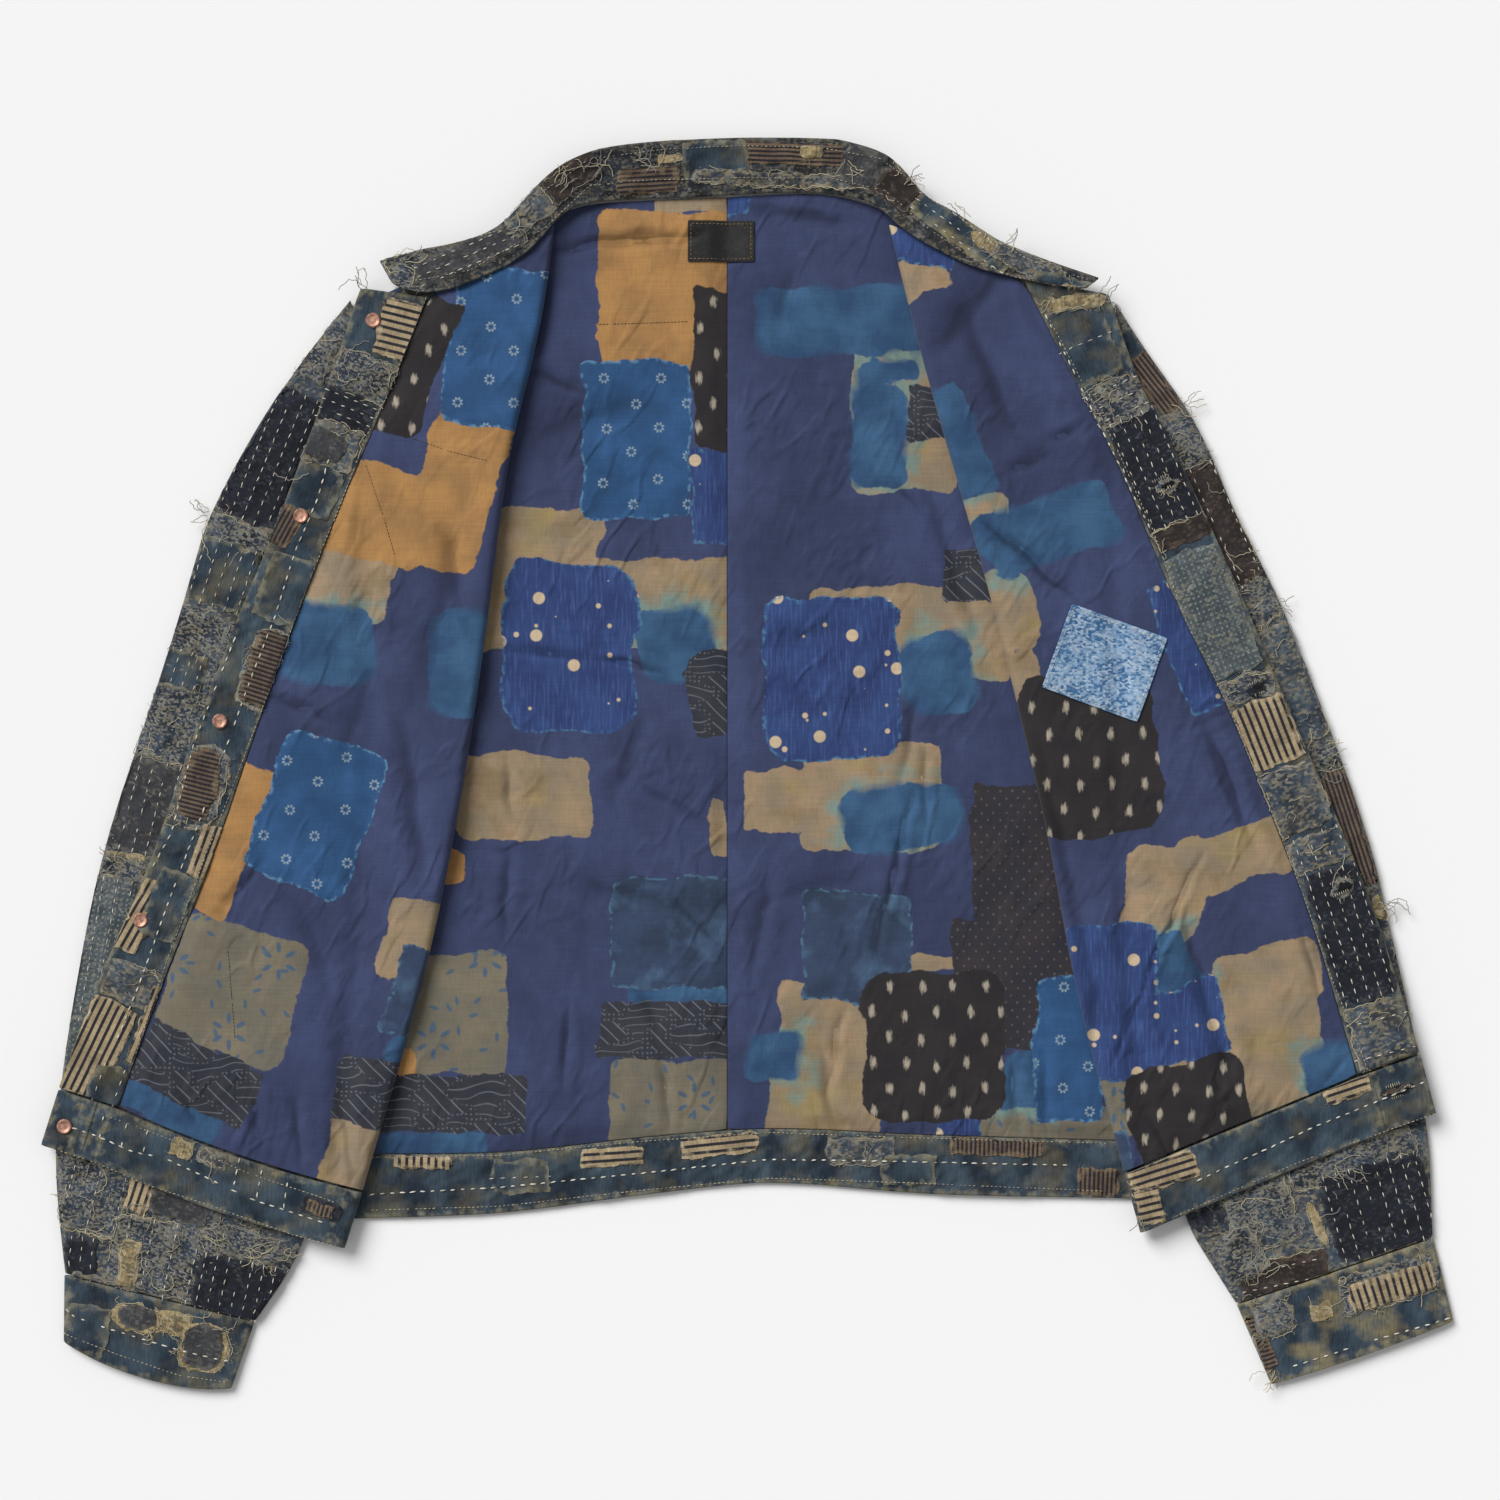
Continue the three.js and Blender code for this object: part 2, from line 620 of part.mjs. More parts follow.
function buildBackBand() {
  const from = BACK_BAND[0].at;
  const to = BACK_BAND[BACK_BAND.length - 1].at;
  const across = stepsWithPatches(24, BAND_PATCHES.back, to - from);
  const face = (z, raised) => (u, w) => {
    const x = mix(from, to, u);
    const edge = along(BACK_BAND, x);
    const rise = raised ? patchRise(BAND_PATCHES.back, u, w) : 0;
    return new THREE.Vector3(x, mix(edge.top, edge.low, w), z + rise);
  };
  addPiece("hem_band_back", clothWall(across, BAND_SHARES, face(BAND, true), face(0, false)), COLOURS.band);
}

// A two-piece sleeve lies flat: the top sleeve's crown rises between its two seams
function buildSleeve(side) {
  const patches = SLEEVE_PATCHES[side];
  const across = [0, 0.05, 0.18, 0.4, 0.6, 0.82, 0.95, 1];
  const plan = (u, v) => {
    const row = along(SLEEVES[side], v);
    return { x: mix(row.outer[0], row.inner[0], u), y: mix(row.outer[1], row.inner[1], u) };
  };
  const crown = (u) => SLEEVE_CROWN * Math.sqrt(Math.max(4 * u * (1 - u), 0));
  const face = (base, crowned, raised) => (u, v) => {
    const { x, y } = plan(u, v);
    const open = crowned ? crown(u) * smooth(v / 0.12) : 0;
    const rise = raised && u > 0 && u < 1 ? patchRise(patches, v, u) * 0.7 : 0;
    return new THREE.Vector3(x, y, base + open + rise);
  };
  const upper = SHELL + SEAM;
  const down = stepsWithPatches(16, patches, SLEEVE_LENGTH);
  const top = clothWall(across, down, face(upper + SHELL, true, true), face(upper, true, false));
  addPiece(`sleeve_${side}_top`, top, COLOURS.sleeve);
  const under = clothWall(steps(1), steps(16), face(SHELL, false, false), face(0, false, false));
  addPiece(`sleeve_${side}_under`, under, COLOURS.sleeve);
}

// A cuff is one band closed into a flattened ring
function buildCuff(side) {
  const c = CUFFS[side];
  const sides = 24;
  const middle = CUFF_WALL + CUFF_AIR / 2;
  const face = (inset) => (turn, v) => {
    const height = middle - inset;
    const lean = Math.cos(turn * 2 * Math.PI);
    const lift = Math.sin(turn * 2 * Math.PI);
    const outer = new THREE.Vector2(...c.seam.outer).lerp(new THREE.Vector2(...c.opening.outer), v);
    const inner = new THREE.Vector2(...c.seam.inner).lerp(new THREE.Vector2(...c.opening.inner), v);
    const width = outer.distanceTo(inner);
    const reach = 1 - (2 * inset) / width;
    const share = 0.5 - 0.5 * reach * Math.sign(lean) * Math.min(Math.abs(lean) ** 0.55, 1);
    const bow = c.bow * 4 * share * (1 - share) * v;
    const place = outer.lerp(inner, share);
    const z = middle + height * Math.sign(lift) * Math.min(Math.abs(lift) ** 0.4, 1);
    return new THREE.Vector3(place.x, place.y - bow, z);
  };
  addPiece(`cuff_${side}`, tubeWall(sides, steps(2), face(0), face(CUFF_WALL)), COLOURS.cuff);
}

function buildCollar() {
  const down = stepsWithPatches(30, COLLAR_PATCHES, COLLAR_LENGTH);
  const face = (thickness) => (w, v) => {
    const row = along(COLLAR_RUN, v);
    const rise = thickness > 0 ? patchRise(COLLAR_PATCHES, v, w) : 0;
    const place = new THREE.Vector3(...row.inner).lerp(new THREE.Vector3(...row.outer), w);
    place.z += thickness + rise;
    return place;
  };
  addPiece("collar", clothWall(BAND_SHARES, down, face(COLLAR), face(0)), COLOURS.collar);
}

// Copper back of a tack button: a low dished disc
function tackGeometry() {
  const profile = [
    new THREE.Vector2(0, 0),
    new THREE.Vector2(TACK_RADIUS, 0),
    new THREE.Vector2(TACK_RADIUS, TACK_HEIGHT * 0.5),
    new THREE.Vector2(TACK_RADIUS * 0.82, TACK_HEIGHT),
    new THREE.Vector2(TACK_RADIUS * 0.45, TACK_HEIGHT * 0.72),
    new THREE.Vector2(0, TACK_HEIGHT * 0.72),
  ];
  const lathe = new THREE.LatheGeometry(profile, 14);
  lathe.rotateX(Math.PI / 2);
  return lathe;
}

function buildTacks(run) {
  const facingTop = -LINING / 2 + FACING;
  const places = TACK_PLACES.map((spot) => run.face(facingTop)(3 + spot.across, spot.down));
  const onBand = frontBandPlace(run, 2 + 2 * BAND_TACK.along, BAND_TACK.down);
  places.push(onBand.point.addScaledVector(onBand.out, BAND / 2));
  places.forEach((place, i) => {
    const geometry = tackGeometry();
    geometry.translate(place.x, place.y, place.z + SEAM + 0.2);
    addPiece(`tack_button_${i + 1}`, geometry, COLOURS.copper, 0.35, 1);
  });
}

// Labels lie on the lining, made from its heights
function buildLabel(name, label, height, colour) {
  const turn = THREE.MathUtils.degToRad(label.turn ?? 0);
  const face = (z) => (u, v) => {
    const run = (u - 0.5) * label.width;
    const rise = (0.5 - v) * label.height;
    const x = label.x + run * Math.cos(turn) - rise * Math.sin(turn);
    const y = label.y + run * Math.sin(turn) + rise * Math.cos(turn);
    return new THREE.Vector3(x, y, height(x, y) + z);
  };
  addPiece(name, clothWall(steps(4), steps(4), face(SEAM + LABEL), face(SEAM)), colour);
}

buildBack();
buildBackBand();
const leftFront = buildFront("left");
const rightFront = buildFront("right");
for (const side of ["left", "right"]) {
  buildSleeve(side);
  buildCuff(side);
}
buildCollar();
buildTacks(leftFront);
buildLabel("neck_label", NECK_LABEL, () => BACK_LINING_Z + LINING, COLOURS.neckLabel);
buildLabel("side_label", SIDE_LABEL, (x, y) => rightFront.liningTop(x, y) + 0.2, COLOURS.sideLabel);

export default jacket;
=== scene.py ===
"""Patched boro jacket laid open on its back: cloth shells, sewn patches, stitches and frayed threads."""

import logging
import math
import random
from dataclasses import dataclass, field, replace
from enum import Enum

import bmesh
import bpy
import numpy as np
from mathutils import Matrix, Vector
from mathutils.bvhtree import BVHTree
from mathutils.kdtree import KDTree


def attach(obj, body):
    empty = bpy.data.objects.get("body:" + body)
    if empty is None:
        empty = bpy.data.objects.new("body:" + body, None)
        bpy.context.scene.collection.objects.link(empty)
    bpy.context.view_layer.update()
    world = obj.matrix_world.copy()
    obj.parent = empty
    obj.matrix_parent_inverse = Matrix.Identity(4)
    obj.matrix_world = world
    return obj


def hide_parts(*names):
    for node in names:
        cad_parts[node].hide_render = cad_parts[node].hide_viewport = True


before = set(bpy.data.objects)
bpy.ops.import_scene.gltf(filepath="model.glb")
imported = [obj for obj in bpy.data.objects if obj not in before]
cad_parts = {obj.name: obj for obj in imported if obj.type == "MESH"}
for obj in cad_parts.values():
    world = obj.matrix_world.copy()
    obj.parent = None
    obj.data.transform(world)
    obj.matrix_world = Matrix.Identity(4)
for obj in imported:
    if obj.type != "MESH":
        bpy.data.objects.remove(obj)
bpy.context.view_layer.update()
log = logging.getLogger("jacket")

MM = 0.001
# The photo is 1500 pixels square; places on the cloth are read in its pixels and turned to metres here.
PHOTO_SCALE = 0.63 * MM
PHOTO_MIDDLE_X = 746.5
PHOTO_MIDDLE_Y = 763.0
UV_NAME = "weave"
SEAM = "seam_mm"
CREASE_SHADE = "painted_crease_shade"
# Depth of a crease whose painted shade is darkest, and how wide that painted shade is for its width.
DARKEST_MM = 1.9
SHADE_WIDTH = 0.62
# Creases narrower than this need a finer mesh.
NARROW_MM = 6.2
# Two grains of different seeds start this far apart, in grains.
GRAIN_STEP_X = 37.3
GRAIN_STEP_Y = 19.1

Points = np.ndarray
Tree = bpy.types.NodeTree
Socket = bpy.types.NodeSocket


class Cloth(Enum):
    """Cloths that the outer patches are cut from."""

    DENIM = "denim"
    WORN = "worn"
    FLECKED = "flecked"
    NAVY = "navy"
    STRIPE = "stripe"
    RUST = "rust"
    GREY = "grey"
    BROWN = "brown"
    CHECK = "check"
    CREAMY = "creamy"
    # Not a cloth: near-black, a painted shadow inside a buttonhole.
    GAP = "gap"
    FADED = "faded"
    PICKED = "picked"


class Print(Enum):
    """Patches printed on the lining, from the lowest layer to the highest."""

    TAN = "tan"
    LEAF = "leaf"
    OCHRE = "ochre"
    TEAL = "teal"
    DUSTY = "dusty"
    CHARCOAL = "charcoal"
    RING = "ring"
    ROYAL = "royal"
    KASURI = "kasuri"
    LINES = "lines"


class Motif(Enum):
    """Traditional figures drawn on a printed patch."""

    NONE = 0
    DOTS = 1
    RINGS = 2
    SPOTS = 3
    LEAVES = 4
    LINES = 5
    SPECKS = 6


@dataclass(frozen=True)
class Patch:
    """One printed patch: its box in photo pixels, its turn in degrees and its corner radius."""

    print: Print
    left: float
    top: float
    right: float
    low: float
    turn: float = 0.0
    corner: float = 8.0


@dataclass(frozen=True)
class Crease:
    """One pressed crease: its two ends in photo pixels, and its width and depth in millimetres."""

    x0: float
    y0: float
    x1: float
    y1: float
    width: float = 4.0
    depth: float = 1.2


@dataclass(frozen=True)
class Lid:
    """One outer patch: cloth, middle and size in photo pixels, turn in degrees, rows of stitches, oval.

    Rows above zero run along the height, and rows below zero across it.
    """

    cloth: Cloth
    x: float
    y: float
    width: float
    height: float
    turn: float = 0.0
    rows: int = 0
    oval: float = 0.12


@dataclass(frozen=True)
class Gather:
    """A seam that puckers its cloth: its ends in photo pixels, and reach, depth and wave in millimetres."""

    x0: float
    y0: float
    x1: float
    y1: float
    reach: float = 38.0
    depth: float = 1.2
    wave: float = 14.0


@dataclass(frozen=True)
class Stray:
    """Stray threads: their piece, root in photo pixels, turn in degrees, length in millimetres, count."""

    node: str
    x: float
    y: float
    turn: float
    length: float
    count: int = 1


def spot(x: float, y: float) -> tuple[float, float]:
    """Turns a photo pixel into a place on the cloth, in metres."""
    return (x - PHOTO_MIDDLE_X) * PHOTO_SCALE, (PHOTO_MIDDLE_Y - y) * PHOTO_SCALE


def linear(colour: str) -> tuple[float, float, float, float]:
    """Turns a hex sRGB colour into linear RGBA."""
    parts = [int(colour[i : i + 2], 16) / 255 for i in (1, 3, 5)]
    return (*(c / 12.92 if c <= 0.04045 else ((c + 0.055) / 1.055) ** 2.4 for c in parts), 1.0)


def add(tree: Tree, kind: str, inputs: dict | None = None, out: int | str = 0, **settings: object) -> Socket:
    """Adds one node to a tree.

    Args:
        tree: Shader or geometry tree.
        kind: Node type.
        inputs: Socket name or index to a value or to another node's output.
        out: Output socket to return.
        settings: Properties of the node.

    Returns:
        The chosen output socket.
    """
    item = tree.nodes.new(kind)
    for name, value in settings.items():
        setattr(item, name, value)
    for key, value in (inputs or {}).items():
        if isinstance(value, bpy.types.NodeSocket):
            tree.links.new(value, item.inputs[key])
        else:
            item.inputs[key].default_value = value
    return item.outputs[out] if len(item.outputs) else None


def span(tree: Tree, value: Socket, low: float, high: float, start: float = 0.0, end: float = 1.0) -> Socket:
    """Maps a value between low and high to one between start and end, and returns it."""
    return add(tree, "ShaderNodeMapRange", {"Value": value, 1: low, 2: high, 3: start, 4: end})


def reckon(tree: Tree, operation: str, *values: Socket | float) -> Socket:
    """Reckons with up to three numbers and returns the outcome."""
    return add(tree, "ShaderNodeMath", dict(enumerate(values)), operation=operation)


def combined(tree: Tree, operation: str, *values: Socket | tuple) -> Socket:
    """Reckons with two ways or colours and returns the outcome."""
    return add(tree, "ShaderNodeVectorMath", dict(enumerate(values)), operation=operation)


def scaled(tree: Tree, colour: Socket | tuple, share: Socket | float) -> Socket:
    """Makes a colour lighter or darker, or a way longer or shorter, and returns it."""
    return add(tree, "ShaderNodeVectorMath", {0: colour, 3: share}, operation="SCALE")


def length(tree: Tree, way: Socket) -> Socket:
    """Measures a way and returns its length."""
    return add(tree, "ShaderNodeVectorMath", {0: way}, operation="LENGTH", out="Value")


def channel(tree: Tree, colour: Socket, name: str) -> Socket:
    """Takes one channel of a colour and returns it."""
    return add(tree, "ShaderNodeSeparateColor", {0: colour}, out=name)


def blend(tree: Tree, share: Socket, below: Socket | str, above: Socket | str) -> Socket:
    """Lays a share of one colour over another, each a hex colour or a socket, and returns the colour."""
    lower, upper = (linear(colour) if isinstance(colour, str) else colour for colour in (below, above))
    return add(tree, "ShaderNodeMix", {0: share, 6: lower, 7: upper}, data_type="RGBA", out=2)


def rumple(points: Points, wave: float, seed: int) -> Points:
    """Gives an uneven soft height between about -1 and 1.

    Args:
        points: Places on the cloth, in metres.
        wave: Usual distance between two swells, in metres.
        seed: Seed of the swells' directions.

    Returns:
        One height for each place.
    """
    draw = random.Random(seed)
    total = np.zeros(len(points))
    for _ in range(8):
        angle = draw.uniform(0, 2 * math.pi)
        swell = wave * draw.uniform(0.6, 1.8)
        phase = draw.uniform(0, 2 * math.pi)
        run = points[:, 0] * math.cos(angle) + points[:, 1] * math.sin(angle)
        total += np.sin(2 * math.pi * run / swell + phase)
    return total / 4.0


def fall(share: Points) -> Points:
    """Eases a share from 0 to 1."""
    share = np.clip(share, 0.0, 1.0)
    return share * share * (3 - 2 * share)


def grain(tree: Tree, mm: Socket, across: float, along: float, detail: float = 3.0, seed: int = 0) -> Socket:
    """Adds uneven grain, mostly between 0.3 and 0.7.

    Args:
        tree: Shader tree.
        mm: Place on the cloth, in millimetres.
        across: Usual width of one grain, in millimetres.
        along: Usual length of one grain, in millimetres.
        detail: Octaves of finer grain.
        seed: Shifts the grain, so that two grains differ.

    Returns:
        The grain's height.
    """
    away = (GRAIN_STEP_X * seed, GRAIN_STEP_Y * seed, 0.0)
    place = {"Vector": mm, "Scale": (1 / across, 1 / along, 1.0), "Location": away}
    noise = {"Vector": add(tree, "ShaderNodeMapping", place), "Scale": 1.0, "Detail": detail}
    return add(tree, "ShaderNodeTexNoise", noise, noise_dimensions="2D")


def stored(tree: Tree, name: str) -> Socket:
    """Reads a number that is stored at each vertex, and returns it."""
    return add(tree, "ShaderNodeAttribute", out="Fac", attribute_name=name)


def cells(tree: Tree, mm: Socket, size: float, uneven: float, out: str) -> Socket:
    """Strews one point in each cell of a grid.

    Args:
        tree: Shader tree.
        mm: Place on the cloth, in millimetres.
        size: Side of a cell, in millimetres.
        uneven: How far the points stray from a regular grid, from 0 to 1.
        out: What to return: the Distance, the Position or a random Color.

    Returns:
        The chosen socket of the nearest point.
    """
    inputs = {"Vector": mm, "Scale": 1 / size, "Randomness": uneven}
    return add(tree, "ShaderNodeTexVoronoi", inputs, out=out, voronoi_dimensions="2D")


def millimetres(tree: Tree, depth: float = 1.0) -> Socket:
    """Gives the place on the object, in millimetres."""
    place = add(tree, "ShaderNodeTexCoord", out="Object")
    return add(tree, "ShaderNodeMapping", {"Vector": place, "Scale": (1 / MM, 1 / MM, depth / MM)})


@dataclass(frozen=True)
class Finish:
    """A material with a surface shader; each kind of cloth paints its own colour and height."""

    name: str
    roughness: float = 0.9
    sheen: float = 0.1
    bump_mm: float = 0.4

    def material(self) -> bpy.types.Material:
        """Builds the material once and returns it."""
        made = bpy.data.materials.get(self.name)
        if made:
            return made
        made = bpy.data.materials.new(self.name)
        made.use_nodes = True
        tree = made.node_tree
        tree.nodes.clear()
        colour, height = self.paint(tree)
        bump = {"Height": height, "Strength": 0.9, "Distance": self.bump_mm * MM}
        bump = add(tree, "ShaderNodeBump", bump)
        inputs = {"Base Color": colour, "Normal": bump, "Roughness": self.roughness}
        inputs |= {"Sheen Weight": self.sheen, "Sheen Roughness": 0.5}
        inputs |= {"Metallic": self.metallic(), "Specular IOR Level": 0.2}
        surface = add(tree, "ShaderNodeBsdfPrincipled", inputs)
        add(tree, "ShaderNodeOutputMaterial", {"Surface": surface})
        return made

    def metallic(self) -> float:
        """Gives how metallic the finish is."""
        return 0.0

    def paint(self, tree: Tree) -> tuple[Socket, Socket]:
        """Adds the nodes of the colour and of the height, and returns both."""
        raise NotImplementedError


@dataclass(frozen=True)
class PatchCloth(Finish):
    """Old indigo cotton, washed and mended: mottled ground, worn knots in pale and straw, pale torn rims.

    The last field is the share of a torn edge that shows loose ends.
    """

    ground: str = "#4f5d70"
    dark: str = "#2f3a4b"
    pale: str = "#a7a294"
    warm: str = "#8f7c5c"
    fleck_share: float = 0.3
    knot_mm: float = 1.7
    rim_wear: float = 0.6
    rim_mm: float = 2.6
    washed: float = 0.0
    stripe: str = ""
    stripe_mm: float = 2.4
    stripe_share: float = 0.5
    checked: bool = False
    frayed: float = 0.3

    def paint(self, tree: Tree) -> tuple[Socket, Socket]:
        """Adds the mottled ground, the stripes, the worn knots and the pale rim.

        Args:
            tree: The material's node tree.

        Returns:
            Colour and height sockets.
        """
        uv = add(tree, "ShaderNodeUVMap", uv_map=UV_NAME)
        mm = add(tree, "ShaderNodeMapping", {"Vector": uv, "Scale": (1 / MM,) * 3})
        height = span(tree, grain(tree, mm, 20, 26, 5.0), 0.34, 0.66)
        colour = blend(tree, height, self.dark, self.ground)
        if self.washed:
            faded = span(tree, grain(tree, mm, 30, 22, 6.0, 4), 0.48, 0.7, end=self.washed)
            colour = blend(tree, faded, colour, self.warm)
        if self.stripe:
            colour, height = self.striped(tree, mm, colour)
        # The warp is drawn a few threads thick, because single threads are too fine to show.
        warp = grain(tree, mm, 1.3, 7.0, 2.0, 1)
        lift = span(tree, warp, 0.3, 0.7, 0.84, 1.16)
        colour = scaled(tree, colour, lift)
        knot = {"Vector": mm, "Scale": (0.8 / self.knot_mm, 1.2 / self.knot_mm, 1.0)}
        knots = cells(tree, add(tree, "ShaderNodeMapping", knot), 1.0, 0.8, "Color")
        chance = channel(tree, knots, "Red")
        tone = channel(tree, knots, "Green")
        straw = blend(tree, tone, self.pale, self.warm)
        if self.fleck_share:
            worn = reckon(tree, "MULTIPLY_ADD", grain(tree, mm, 13, 13, 4.0, 2), 1.2, chance)
            edge = 1.6 - self.fleck_share
            fleck = span(tree, worn, edge - 0.25, edge + 0.25, end=0.7)
            colour = blend(tree, fleck, colour, straw)
            pit = span(tree, worn, 0.85, 0.6, end=0.6)
            colour = blend(tree, pit, colour, self.dark)
        seam = stored(tree, SEAM)
        wander = reckon(tree, "MULTIPLY_ADD", grain(tree, mm, 7, 7, 5.0, 3), 15.0, seam)
        rim = span(tree, wander, 7.4 + self.rim_mm, 7.0, end=self.rim_wear)
        colour = blend(tree, rim, colour, straw)
        rise = reckon(tree, "ADD", chance, warp)
        return colour, reckon(tree, "ADD", rise, height)

    def striped(self, tree: Tree, mm: Socket, colour: Socket) -> tuple[Socket, Socket]:
        """Adds stripes that run along the patch's width, or checks.

        Args:
            tree: The material's node tree.
            mm: Place on the cloth, in millimetres.
            colour: Colour below the stripes.

        Returns:
            Colour and height sockets.
        """
        wave = {"Vector": mm, "Scale": math.pi / (10 * self.stripe_mm), "Distortion": 0.7, "Detail": 1.0}
        wave |= {"Detail Scale": 0.4}
        bars = add(tree, "ShaderNodeTexWave", wave, out="Fac", bands_direction="Y")
        if self.checked:
            posts = add(tree, "ShaderNodeTexWave", wave, out="Fac", bands_direction="X")
            bars = reckon(tree, "MULTIPLY", bars, posts)
        edge = 1.0 - self.stripe_share
        band = span(tree, bars, edge - 0.15, edge + 0.15)
        return blend(tree, band, colour, self.stripe), band


@dataclass(frozen=True)
class PrintLayer:
    """Colours and figures of one printed cloth of the lining; a bleed turns its edge soft in places."""

    print: Print
    ground: str
    tint: str
    motif: Motif = Motif.NONE
    figure: str = "#b9ad97"
    edge: str = ""
    streak: str = ""
    stain: str = ""
    bleed_mm: float = 0.0
    column_mm: float = 20.0
    row_mm: float = 16.0
    wide_mm: float = 2.3
    tall_mm: float = 4.2


PRINT_LAYERS = (
    PrintLayer(Print.TAN, "#8f7a61", "#7d705d", Motif.SPECKS, "#776446", stain="#8f7d45"),
    PrintLayer(Print.LEAF, "#706858", "#646055", Motif.LEAVES, "#3b546c", column_mm=66.0, row_mm=44.0),
    PrintLayer(Print.OCHRE, "#9f7748", "#8d6a43"),
    PrintLayer(Print.TEAL, "#2a4565", "#365676", bleed_mm=3.2),
    PrintLayer(Print.DUSTY, "#33415a", "#2b374c", Motif.SPECKS, "#46607a", edge="#4c6f86"),
    PrintLayer(Print.CHARCOAL, "#322e31", "#2a2a31", Motif.DOTS, "#544a49",
               column_mm=7.6, row_mm=4.6, wide_mm=0.8, tall_mm=0.9),
    PrintLayer(Print.RING, "#2c4f78", "#254468", Motif.RINGS, "#808f99", "#5b83a2", column_mm=36.0),
    PrintLayer(Print.ROYAL, "#283661", "#2d406d", Motif.SPOTS, "#b5a286", "#46738f", "#3c5282"),
    PrintLayer(Print.KASURI, "#252325", "#2c282a", Motif.DOTS, "#968d7f"),
    PrintLayer(Print.LINES, "#2b2d36", "#33343a", Motif.LINES, "#5d6067"),
)


